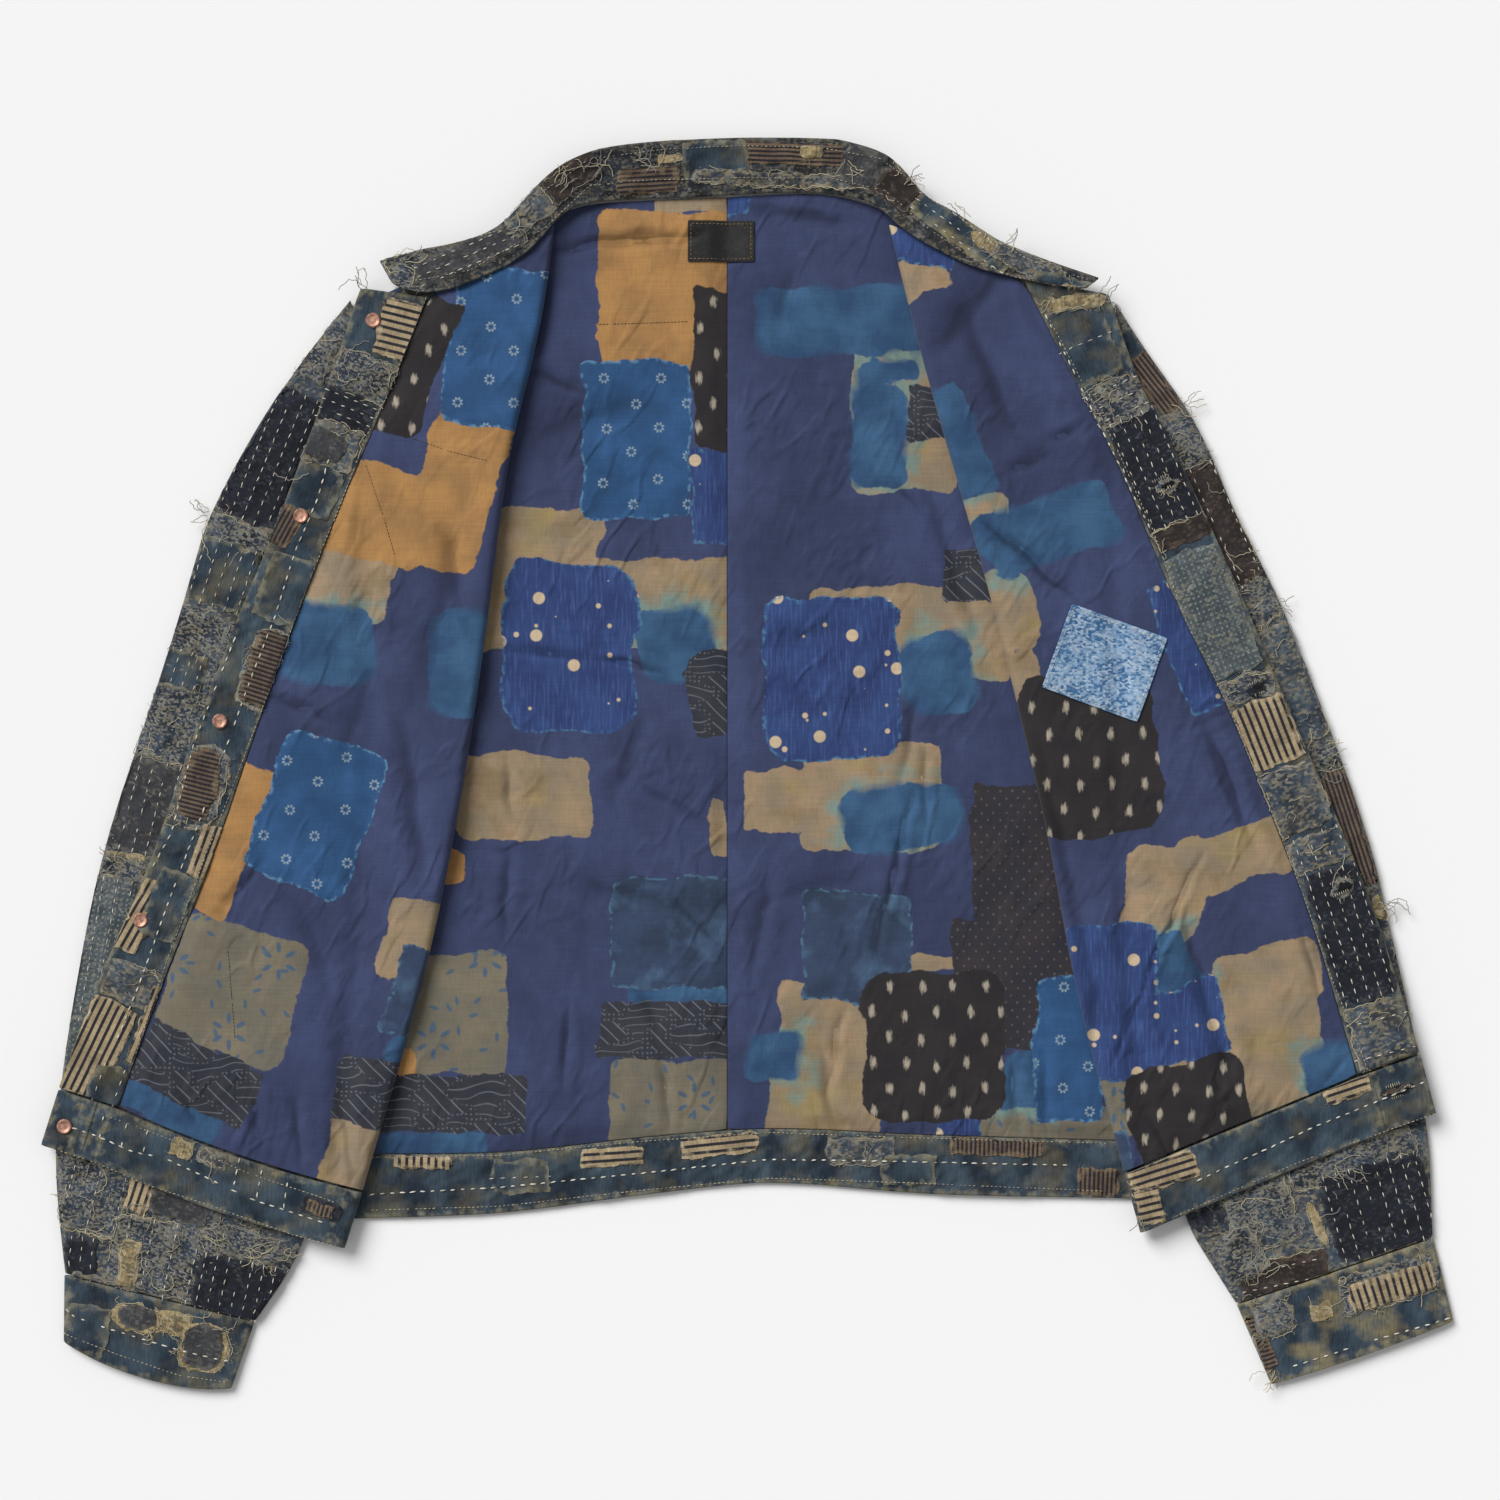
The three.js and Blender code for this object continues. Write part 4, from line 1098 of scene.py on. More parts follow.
def corners(mesh: bpy.types.Mesh) -> Points:
    """Gives a mesh's vertices as rows of x, y, z."""
    flat = np.zeros(len(mesh.vertices) * 3)
    mesh.vertices.foreach_get("co", flat)
    return flat.reshape(-1, 3)


def point_values(mesh: bpy.types.Mesh, name: str, values: Points) -> None:
    """Stores one named number at each vertex of a mesh."""
    layer = mesh.attributes.new(name, "FLOAT", "POINT")
    layer.data.foreach_set("value", np.asarray(values, dtype=np.float32))


@dataclass
class Guides:
    """Lines that a Geometry Nodes tree follows, with ways out of the patch and shares of threads kept."""

    points: list[Vector] = field(default_factory=list)
    edges: list[tuple[int, int]] = field(default_factory=list)
    out: list[Vector] = field(default_factory=list)
    amount: list[float] = field(default_factory=list)

    def add(
        self, line: list[Vector], out: list[Vector] | None = None, amount: list[float] | None = None
    ) -> None:
        """Adds one line of points, with ways out and amounts where they matter."""
        first = len(self.points)
        self.points += line
        self.out += out or [Vector((0, 0, 1))] * len(line)
        self.amount += amount or [1.0] * len(line)
        self.edges += [(first + i, first + i + 1) for i in range(len(line) - 1)]

    def mesh(self, name: str) -> bpy.types.Mesh:
        """Makes the guide mesh."""
        made = bpy.data.meshes.new(name)
        made.from_pydata([tuple(p) for p in self.points], self.edges, [])
        layer = made.attributes.new("out", "FLOAT_VECTOR", "POINT")
        layer.data.foreach_set("vector", [c for v in self.out for c in v])
        point_values(made, "amount", self.amount)
        return made


def tube(tree: Tree, path: Socket, radius: Socket | float, sides: int) -> Socket:
    """Gives a path a round, closed thread and returns its mesh."""
    ring = add(tree, "GeometryNodeCurvePrimitiveCircle", {"Resolution": sides, "Radius": radius})
    return add(tree, "GeometryNodeCurveToMesh", {"Curve": path, "Profile Curve": ring, "Fill Caps": True})


def stray_way(tree: Tree, low: Socket | tuple, high: Socket | tuple, seed: Socket) -> Socket:
    """Draws a random way between two ways for each point, and returns it."""
    inputs = {0: low, 1: high, "Seed": seed}
    return add(tree, "FunctionNodeRandomValue", inputs, data_type="FLOAT_VECTOR")


@dataclass
class ThreadWork:
    """Geometry Nodes work along guide lines: its name, thread, sizes in millimetres and seed."""

    name: str
    finish: Finish
    pitch: float
    length: float
    width: float
    seed: int = 4

    def build(self, guides: Guides) -> bpy.types.Object | None:
        """Lays the work along its guides.

        Args:
            guides: Lines to follow.

        Returns:
            The plain object, or nothing where there is no line.
        """
        if not guides.points:
            return None
        tree = self.tree()
        piece = placed(self.name, guides.mesh(self.name))
        layer = piece.modifiers.new("threads", "NODES")
        layer.node_group = tree
        values = {"Pitch": self.pitch * MM, "Length": self.length * MM, "Width": self.width * MM}
        values |= {"Seed": self.seed, "Material": self.finish.material()}
        for socket in tree.interface.items_tree:
            if socket.in_out == "INPUT" and socket.name in values:
                layer[socket.identifier] = values[socket.name]
        settled(piece)
        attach(piece, "root")
        log.info("%s: %d faces", self.name, len(piece.data.polygons))
        return piece

    def tree(self) -> Tree:
        """Starts the tree with its named inputs, fills it and ends it in plain geometry."""
        tree = bpy.data.node_groups.new(self.name, "GeometryNodeTree")
        sockets = [("Geometry", "Geometry"), ("Pitch", "Float"), ("Length", "Float"), ("Width", "Float")]
        sockets += [("Seed", "Int"), ("Material", "Material")]
        for name, kind in sockets:
            tree.interface.new_socket(name, in_out="INPUT", socket_type="NodeSocket" + kind)
        tree.interface.new_socket("Geometry", in_out="OUTPUT", socket_type="NodeSocketGeometry")
        given = tree.nodes.new("NodeGroupInput").outputs
        line = add(tree, "GeometryNodeMeshToCurve", {0: given["Geometry"]})
        line = {"Curve": line, "Length": given["Pitch"]}
        line = add(tree, "GeometryNodeResampleCurve", line, mode="LENGTH")
        made = self.fill(tree, given, line)
        made = add(tree, "GeometryNodeRealizeInstances", {0: made})
        made = add(tree, "GeometryNodeSetMaterial", {"Geometry": made, "Material": given["Material"]})
        add(tree, "NodeGroupOutput", {0: made})
        return tree

    def fill(self, tree: Tree, given: object, line: Socket) -> Socket:
        """Adds the nodes that put one shape at each point of the line, and returns the instances."""
        raise NotImplementedError


@dataclass
class Stitches(ThreadWork):
    """Stitches along a line, or across it: one plump little thread after another, uneven in length."""

    axis: str = "X"

    def fill(self, tree: Tree, given: object, line: Socket) -> Socket:
        """Puts a stitch at each point, turned by the line, and returns the instances."""
        seed = given["Seed"]
        plump = add(tree, "FunctionNodeRandomValue", {2: 0.36, 3: 0.6, "Seed": seed}, out=1)
        long = reckon(tree, "MULTIPLY", plump, given["Length"])
        wide = reckon(tree, "MULTIPLY", given["Width"], 0.5)
        size = add(tree, "ShaderNodeCombineXYZ", {0: long, 1: wide, 2: wide})
        tangent = add(tree, "GeometryNodeInputTangent")
        stray = stray_way(tree, (-0.13,) * 3, (0.13,) * 3, seed)
        way = combined(tree, "ADD", tangent, stray)
        turned = add(tree, "FunctionNodeAlignRotationToVector", {"Vector": way}, axis=self.axis)
        kept = {"Probability": 0.94, "Seed": seed}
        kept = add(tree, "FunctionNodeRandomValue", kept, out=3, data_type="BOOLEAN")
        knot = add(tree, "GeometryNodeMeshIcoSphere", {"Radius": 1.0, "Subdivisions": 1})
        knot = add(tree, "GeometryNodeSetShadeSmooth", {0: knot})
        inputs = {"Points": line, "Selection": kept, "Instance": knot, "Rotation": turned, "Scale": size}
        return add(tree, "GeometryNodeInstanceOnPoints", inputs)


class LooseThreads(ThreadWork):
    """Threads that lie loose along a torn edge: thin wavering tubes."""

    def fill(self, tree: Tree, given: object, line: Socket) -> Socket:
        """Shakes the line and gives it a round thread, and returns the tubes."""
        reach = add(tree, "ShaderNodeCombineXYZ", {0: given["Length"], 1: given["Length"], 2: 0.0})
        back = scaled(tree, reach, -1.0)
        stray = stray_way(tree, back, reach, given["Seed"])
        moved = add(tree, "GeometryNodeSetPosition", {"Geometry": line, "Offset": stray})
        wide = reckon(tree, "MULTIPLY", given["Width"], 0.5)
        return add(tree, "GeometryNodeSetShadeSmooth", {0: tube(tree, moved, wide, sides=4)})


class Fray(ThreadWork):
    """Frayed threads: thin bent ends that lie over a torn edge or stand away from it."""

    def fill(self, tree: Tree, given: object, line: Socket) -> Socket:
        """Puts one of four bent threads at some points, turned outwards, and returns the instances."""
        seed = given["Seed"]
        kinds = []
        for side, lift in ((0.6, 0.05), (-0.8, 0.09), (0.3, 0.14), (-0.4, 0.03)):
            inputs = {"Resolution": 5, "Start": (-0.15, 0, -0.03), "Start Handle": (0.3, side, lift)}
            inputs |= {"End Handle": (0.7, -side, lift * 1.2), "End": (0.9, side * 0.7, -0.02)}
            path = add(tree, "GeometryNodeCurvePrimitiveBezierSegment", inputs)
            hair = tube(tree, path, 0.04, sides=3)
            kinds.append(add(tree, "GeometryNodeGeometryToInstance", {0: hair}))
        pool = add(tree, "GeometryNodeJoinGeometry")
        for kind in kinds:
            tree.links.new(kind, pool.node.inputs[0])
        away = add(tree, "GeometryNodeInputNamedAttribute", {"Name": "out"}, data_type="FLOAT_VECTOR")
        stray = stray_way(tree, (-1.3, -1.3, -0.1), (1.3, 1.3, 0.1), seed)
        way = combined(tree, "ADD", away, stray)
        turned = add(tree, "FunctionNodeAlignRotationToVector", {"Vector": way}, axis="X")
        reach = add(tree, "FunctionNodeRandomValue", {2: 0.25, 3: 1.0, "Seed": seed}, out=1)
        reach = reckon(tree, "POWER", reach, 1.6)
        size = reckon(tree, "MULTIPLY", reach, given["Length"])
        pick = add(tree, "FunctionNodeRandomValue", {4: 0, 5: 3, "Seed": seed}, out=2, data_type="INT")
        amount = add(tree, "GeometryNodeInputNamedAttribute", {"Name": "amount"}, data_type="FLOAT")
        chance = add(tree, "FunctionNodeRandomValue", {2: 0.0, 3: 1.0, "Seed": seed}, out=1)
        kept = add(tree, "FunctionNodeCompare", {0: chance, 1: amount}, operation="LESS_THAN")
        inputs = {"Points": line, "Instance": pool, "Pick Instance": True, "Instance Index": pick}
        inputs |= {"Rotation": turned, "Scale": size, "Selection": kept}
        return add(tree, "GeometryNodeInstanceOnPoints", inputs)


@dataclass
class PatchWork:
    """The sewn-on patches of one garment piece: thin ragged lids, and guides for their threads."""

    name: str
    slot: str
    ground: Ground
    lids: tuple[Lid, ...]
    stitches: Guides
    fray: Guides
    loose: Guides
    step_mm: float = 2.3
    thick_mm: float = 0.9
    sunk_mm: float = 0.25
    row_dip_mm: float = 0.35
    wander_mm: float = 0.5
    ragged_mm: float = 0.6
    bumps_mm: float = 0.25
    soft_rim_mm: float = 3.0
    tangle_px: float = 520.0
    seed: int = 1
    points: list[tuple[float, ...]] = field(default_factory=list)
    faces: list[tuple[int, ...]] = field(default_factory=list)
    layout: list[tuple[float, float]] = field(default_factory=list)
    seams: list[float] = field(default_factory=list)

    def build(self) -> bpy.types.Object:
        owners: list[int] = []
        cloths = sorted({lid.cloth for lid in self.lids}, key=lambda cloth: cloth.value)
        for i, lid in enumerate(self.lids):
            self.lid(lid, self.seed + i)
            owners += [cloths.index(lid.cloth)] * (len(self.faces) - len(owners))
        mesh = bpy.data.meshes.new(self.name)
        mesh.from_pydata(self.points, [], self.faces)
        flat_layout(mesh, np.array(self.layout))
        point_values(mesh, SEAM, self.seams)
        for cloth in cloths:
            mesh.materials.append(CLOTH_FINISHES[cloth].material())
        mesh.polygons.foreach_set("material_index", owners)
        mesh.shade_smooth()
        mesh.set_sharp_from_angle(angle=math.radians(LID_SHARP))
        piece = placed(self.name, mesh)
        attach(piece, "root")
        log.info("%s: %d patches, %d faces", self.name, len(self.lids), len(mesh.polygons))
        return piece

    def lid(self, lid: Lid, seed: int) -> None:
        """Builds one patch as a closed thin lid that lies on the cloth below it.

        Args:
            lid: The patch.
            seed: Seed of its ragged edge.
        """
        draw = random.Random(seed)
        half_x, half_y = lid.width * PHOTO_SCALE / 2, lid.height * PHOTO_SCALE / 2
        columns = max(4, round(2 * half_x / (self.step_mm * MM)))
        rows = max(4, round(2 * half_y / (self.step_mm * MM)))
        waves = [
            (draw.uniform(0.5, 1.0), draw.uniform(0, TURN), draw.uniform(*EDGE_WAVES_MM) * MM)
            for _ in range(EDGE_WAVES)
        ]
        raised: list[tuple[float, ...]] = []
        lower: list[tuple[float, ...]] = []
        layout: list[tuple[float, float]] = []
        seams: list[float] = []
        for point in range((rows + 1) * (columns + 1)):
            row, column = divmod(point, columns + 1)
            u, v = 2 * column / columns - 1, 2 * row / rows - 1
            flat_x = u * math.sqrt(1 - ROUNDING * lid.oval * v * v) * half_x
            flat_y = v * math.sqrt(1 - ROUNDING * lid.oval * u * u) * half_y
            wander = sum(
                share * math.sin(phase + TURN * (flat_y if k % 2 else flat_x) / wave)
                for k, (share, phase, wave) in enumerate(waves)
            ) * self.wander_mm * MM
            ragged = draw.uniform(-self.ragged_mm, self.ragged_mm) * MM * max(abs(u), abs(v)) ** 4
            flat_x += wander * abs(u) ** 3 + ragged
            flat_y += wander * abs(v) ** 3 + ragged
            place = self.ground.drop(*turned_place(lid, flat_x, flat_y))
            edge = min((1 - abs(u)) * half_x, (1 - abs(v)) * half_y) / MM
            top = place.z + self.puff(lid, place, u if lid.rows > 0 else v, edge, seed) * MM
            for x, y, low in TACKS:
                if math.hypot(place.x - x, place.y - y) < TACK_CLEAR:
                    top = min(top, low)
            raised.append((place.x, place.y, top))
            lower.append((place.x, place.y, max(place.z - self.sunk_mm * MM, 0.0)))
            layout.append((flat_x + seed * LAYOUT_STEP_X, flat_y + seed * LAYOUT_STEP_Y))
            seams.append(edge)
        self.close(raised, lower, rows, columns)
        self.layout += layout + layout
        self.seams += seams + seams
        self.torn(lid, [Vector(raised[i]) for i in grid_rim(rows, columns)], draw)
        self.sew(lid, half_x, half_y)

    def puff(self, lid: Lid, place: Vector, side: float, edge: float, seed: int) -> float:
        """Gives a patch's height: thin at its edge, uneven, and drawn in by its rows of stitches.

        Args:
            lid: The patch.
            place: Where the cloth below lies, in metres.
            side: Place across the rows of stitches, from -1 to 1.
            edge: Distance from the patch's edge, in millimetres.
            seed: Seed of the patch.

        Returns:
            Height in millimetres.
        """
        puff = self.thick_mm * (RIM_THICK + (1 - RIM_THICK) * min(edge / self.soft_rim_mm, 1))
        bumps = math.sin(place.x / MM * 0.45 + seed) * math.sin(place.y / MM * 0.5 + 2 * seed)
        puff += self.bumps_mm * bumps
        if lid.rows:
            puff += self.row_dip_mm * math.cos(math.pi * abs(lid.rows) * (side + 1) + math.pi)
        return puff

    def close(self, raised: list, lower: list, rows: int, columns: int) -> None:
        """Closes a raised grid and a lower grid of points to one thin lid."""
        across = columns + 1
        count = len(raised)
        corner = [row * across + column for row in range(rows) for column in range(columns)]
        faces: list[tuple[int, ...]] = [(a, a + 1, a + across + 1, a + across) for a in corner]
        self.ground.cover(np.array(raised), list(faces))
        faces += [tuple(count + corner for corner in reversed(face)) for face in faces]
        rim = grid_rim(rows, columns)
        faces += [(a, a + count, b + count, b) for a, b in zip(rim, rim[1:] + rim[:1])]
        first = len(self.points)
        self.points += raised + lower
        self.faces += [tuple(first + corner for corner in face) for face in faces]

    def torn(self, lid: Lid, rim: list[Vector], draw: random.Random) -> None:
        """Adds the guide lines of a patch's frayed edge and of the threads that lie along it.

        Args:
            lid: The patch.
            rim: Its raised edge, point by point round it.
            draw: Source of uneven amounts.
        """
        middle = sum(rim, Vector()) / len(rim)
        share = CLOTH_FINISHES[lid.cloth].frayed
        phase, turns = draw.uniform(0, TURN), draw.choice((2, 3, 4))
        away, amount = [], []
        for i, place in enumerate(rim):
            way = (place - middle).normalized()
            away.append(Vector((FRAY_OUT * way.x, FRAY_OUT * way.y, FRAY_UP)))
            over = self.ground.covers(place.x + END_REACH * way.x, place.y + END_REACH * way.y)
            clump = max(0.0, 0.5 + 0.7 * math.sin(phase + TURN * turns * i / len(rim)))
            amount.append(share * clump * (1.0 if over else BARE_SHARE))
        self.fray.add(rim + rim[:1], away + away[:1], amount + amount[:1])
        if share < LOOSE_FROM:
            return
        for _ in range(LOOSE_ARCS):
            start = draw.randrange(len(rim))
            count = round(len(rim) * draw.uniform(0.12, 0.35))
            arc = [rim[(start + i) % len(rim)] for i in range(count)]
            inside = draw.uniform(-0.8, 2.4) * MM
            kept = [p + (middle - p).normalized() * inside + ROW_LIFT for p in arc]
            if len(kept) > 3:
                self.loose.add(kept)
        for _ in range(round(share * lid.width * lid.height / self.tangle_px)):
            run, side = draw.uniform(-0.5, 0.5) * lid.width, draw.uniform(-0.5, 0.5) * lid.height
            turn = math.radians(lid.turn)
            x = lid.x + run * math.cos(turn) + side * math.sin(turn)
            y = lid.y - run * math.sin(turn) + side * math.cos(turn)
            thread = Stray("", x, y, draw.uniform(0, 360), draw.uniform(*TANGLE_MM))
            self.loose.add([p for p in curl(self.ground, thread, 0.5) if self.ground.covers(p.x, p.y)])

    def sew(self, lid: Lid, half_x: float, half_y: float) -> None:
        """Adds the guide lines of a patch's rows of stitches."""
        count = abs(lid.rows)
        for row in range(count):
            side = (2 * (row + 0.5) / count - 1) * ROWS_SPREAD
            line = []
            steps = max(4, int((half_y if lid.rows > 0 else half_x) / ROW_STEP))
            for i in range(steps + 1):
                run = (2 * i / steps - 1) * ROW_SHARE
                flat = (side * half_x, run * half_y) if lid.rows > 0 else (run * half_x, side * half_y)
                line.append(self.ground.drop(*turned_place(lid, *flat)) + ROW_LIFT)
            self.stitches.add(line)


def grid_rim(rows: int, columns: int) -> list[int]:
    """Gives the points on the rim of a grid, one after another round it."""
    across = columns + 1
    rim = list(range(columns)) + [row * across + columns for row in range(rows)]
    rim += [rows * across + column for column in range(columns, 0, -1)]
    return rim + [row * across for row in range(rows, 0, -1)]


def turned_place(lid: Lid, flat_x: float, flat_y: float) -> tuple[float, float]:
    """Turns a place on a flat patch into a place on the garment, in metres."""
    x, y = spot(lid.x, lid.y)
    turn = math.radians(lid.turn)
    across, along = math.cos(turn), math.sin(turn)
    return x + flat_x * across - flat_y * along, y + flat_x * along + flat_y * across


def curl(ground: Ground, thread: Stray, lift_mm: float = 1.0) -> list[Vector]:
    """Lays one long stray thread on the cloth, wandering as it goes, and returns its points."""
    draw = random.Random(round(thread.x * 7 + thread.y))
    x, y = spot(thread.x, thread.y)
    heading = math.radians(thread.turn)
    bend = draw.uniform(-0.2, 0.2)
    line = []
    for _ in range(round(thread.length / THREAD_STEP_MM)):
        line.append(Vector((x, y, ground.drop(x, y).z + lift_mm * MM)))
        x += THREAD_STEP_MM * MM * math.cos(heading)
        y += THREAD_STEP_MM * MM * math.sin(heading)
        bend = 0.8 * bend + draw.uniform(-THREAD_BEND, THREAD_BEND)
        heading += bend
    return line


CLOTH_FINISHES = {
    Cloth.DENIM: PatchCloth(
        "indigo_denim_washed", ground="#384651", dark="#1c2732", pale="#808379", warm="#7c6f4b",
        fleck_share=0.0, rim_wear=0.6, rim_mm=3.8, washed=0.28, frayed=0.2,
    ),
    Cloth.WORN: PatchCloth(
        "indigo_cotton_worn", ground="#45505b", dark="#262e38", pale="#86847a", warm="#7b6d4c",
        fleck_share=0.28, washed=0.2, frayed=0.5,
    ),
    Cloth.FLECKED: PatchCloth(
        "indigo_cotton_shredded", ground="#3c4755", dark="#1e242d", pale="#898983", warm="#7a7054",
        fleck_share=0.46, knot_mm=1.25, bump_mm=0.9, frayed=0.8,
    ),
    Cloth.NAVY: PatchCloth(
        "indigo_cotton_deep", ground="#1c2029", dark="#15181f", pale="#464c56", warm="#40403f",
        fleck_share=0.02, rim_wear=0.4, frayed=0.25,
    ),
    Cloth.STRIPE: PatchCloth(
        "striped_cotton_cream", ground="#9f8d70", dark="#87785f", pale="#b9ac92", warm="#9c8560",
        fleck_share=0.0, stripe="#22232a", stripe_mm=4.6, stripe_share=0.34, frayed=0.35,
    ),
    Cloth.RUST: PatchCloth(
        "striped_cotton_rust", ground="#675748", dark="#52453a", pale="#83755f", warm="#6f593f",
        fleck_share=0.0, stripe="#232227", stripe_mm=2.8, stripe_share=0.45, frayed=0.35,
    ),
    Cloth.GREY: PatchCloth(
        "grey_cotton", ground="#3c3d40", dark="#2f3033", pale="#6a6a68", warm="#575044", fleck_share=0.1,
    ),
    Cloth.BROWN: PatchCloth(
        "brown_cotton", ground="#302a29", dark="#241f1d", pale="#564b43", warm="#4b3c30",
        fleck_share=0.12, frayed=0.45,
    ),
    Cloth.CHECK: PatchCloth(
        "checked_cotton_grey", ground="#4c5458", dark="#3b4347", pale="#83867f", warm="#736e59",
        fleck_share=0.15, stripe="#6d7474", stripe_mm=3.4, stripe_share=0.45, checked=True, frayed=0.25,
    ),
    Cloth.CREAMY: PatchCloth(
        "cream_cotton_frayed", ground="#8b7d5e", dark="#5f5644", pale="#aa9f83", warm="#96804f",
        fleck_share=0.5, bump_mm=0.8, frayed=0.8,
    ),
    Cloth.FADED: PatchCloth(
        "indigo_denim_faded", ground="#3a4955", dark="#1d2935", pale="#8a897c", warm="#8f8054",
        fleck_share=0.0, rim_wear=0.75, rim_mm=5.0, washed=0.55,
    ),
    Cloth.PICKED: PatchCloth(
        "indigo_cotton_picked", ground="#2d333b", dark="#1c2024", pale="#71716b", warm="#6b6048",
        fleck_share=0.2, knot_mm=1.4, bump_mm=0.9, washed=0.12, frayed=0.5,
    ),
    # Painted shadow: near-black lids stand for the shade inside the worn buttonholes.
    Cloth.GAP: PatchCloth(
        "buttonhole_painted_shadow", ground="#121317", dark="#0b0c0e", pale="#1d1e22", warm="#191817",
        fleck_share=0.0, rim_wear=0.0,
    ),
}
LINING = PrintedLining("printed_cotton_lining", bump_mm=0.9)
HIDDEN_CLOTH = CLOTH_FINISHES[Cloth.DENIM]
NECK_LABEL_CLOTH = PatchCloth(
    "black_label_taffeta", roughness=0.6, bump_mm=0.1, ground="#201f20", dark="#181819", pale="#37342f",
    warm="#23211f", fleck_share=0.05, knot_mm=1.6, rim_wear=0.0,
)
SIDE_LABEL_CLOTH = PatchCloth(
    "indigo_label_cotton", roughness=0.85, bump_mm=0.15, ground="#4a7298", dark="#315780", pale="#b4c2ce",
    warm="#7d9ab5", fleck_share=0.6, knot_mm=1.4, rim_wear=0.3,
)
COTTON_THREAD = ThreadFinish("cotton_thread_undyed", pale="#d2cec2", deep="#a29d8d")
DARK_THREAD = ThreadFinish("cotton_thread_dark", pale="#5a4a3a", deep="#41382f")
GOLD_THREAD = ThreadFinish("cotton_thread_dull_gold", pale="#8d7a4c", deep="#6b5c3c")
FRAY_THREAD = ThreadFinish("cotton_ends_frayed", pale="#b5a784", deep="#545c64")
LOOSE_THREAD = ThreadFinish("cotton_threads_loose", pale="#b5aa8b", deep="#6f7176")
COPPER = CopperTack("copper_tumbled", roughness=0.5, sheen=0.0, bump_mm=0.05)
FLOOR_PAPER = StudioFloor("paper_sweep", roughness=0.95, sheen=0.0, bump_mm=0.02)

P, C = Print, Cloth
BACK_LEFT_PATCHES = (
    Patch(P.TAN, 657, 193, 735, 214, 0, 3), Patch(P.OCHRE, 597, 211, 735, 372, -1, 12),
    Patch(P.KASURI, 692, 286, 740, 450), Patch(P.RING, 581, 362, 692, 518),
    Patch(P.ROYAL, 690, 450, 740, 545, 0, 3), Patch(P.TAN, 480, 508, 600, 566, 0, 4),
    Patch(P.TAN, 480, 558, 740, 650, 0, 4), Patch(P.ROYAL, 502, 562, 636, 732, 0, 26),
    Patch(P.TEAL, 634, 607, 712, 680, 12, 22), Patch(P.LINES, 687, 651, 740, 738, 0, 22),
    Patch(P.TAN, 456, 756, 591, 839, 0, 12), Patch(P.TAN, 712, 797, 727, 856, 0, 2),
    Patch(P.OCHRE, 430, 852, 466, 884), Patch(P.DUSTY, 611, 878, 740, 987),
    Patch(P.TEAL, 627, 967, 740, 1004, 0, 6), Patch(P.LINES, 597, 1002, 740, 1059, 0, 4),
    Patch(P.LEAF, 607, 1060, 740, 1160, 0, 5), Patch(P.LEAF, 404, 953, 508, 1076, 0, 12),
    Patch(P.LINES, 370, 1076, 526, 1133, 0, 5), Patch(P.TEAL, 380, 1131, 487, 1160, 0, 8),
    Patch(P.OCHRE, 395, 1050, 412, 1078, 0, 4),
)
BACK_RIGHT_PATCHES = (
    Patch(P.ROYAL, 712, 180, 753, 216, 0, 3), Patch(P.TEAL, 759, 286, 925, 355, 0, 14),
    Patch(P.TAN, 853, 346, 955, 490, 0, 8), Patch(P.TEAL, 851, 384, 905, 488, 0, 12),
    Patch(P.TEAL, 858, 362, 920, 382, 8, 9), Patch(P.LINES, 908, 384, 960, 442, 0, 3),
    Patch(P.LINES, 943, 547, 1000, 600, 0, 3), Patch(P.TAN, 808, 588, 1010, 684, 2, 8),
    Patch(P.TEAL, 900, 634, 976, 714, 14, 26), Patch(P.ROYAL, 763, 597, 900, 760, 0, 26),
    Patch(P.TAN, 744, 770, 870, 830, 0, 4), Patch(P.TAN, 803, 742, 944, 850, 0, 8),
    Patch(P.TEAL, 840, 786, 963, 850, 6, 20), Patch(P.CHARCOAL, 973, 784, 1075, 921, 0, 6),
    Patch(P.CHARCOAL, 952, 918, 1085, 1049, 0, 6), Patch(P.DUSTY, 802, 892, 912, 1004, -3, 8),
    Patch(P.TAN, 904, 955, 960, 971, 0, 3), Patch(P.KASURI, 863, 972, 1006, 1124, 0, 28),
    Patch(P.TAN, 776, 980, 872, 1062, 0, 14), Patch(P.TAN, 766, 1040, 884, 1160, 0, 10),
    Patch(P.TEAL, 748, 1033, 800, 1084, 0, 6), Patch(P.RING, 1035, 979, 1105, 1122, 0, 6),
    Patch(P.LEAF, 965, 1104, 1120, 1160, 0, 6), Patch(P.TEAL, 1001, 1052, 1040, 1108, 0, 4),
    Patch(P.ROYAL, 940, 1112, 984, 1160, 0, 5),
)
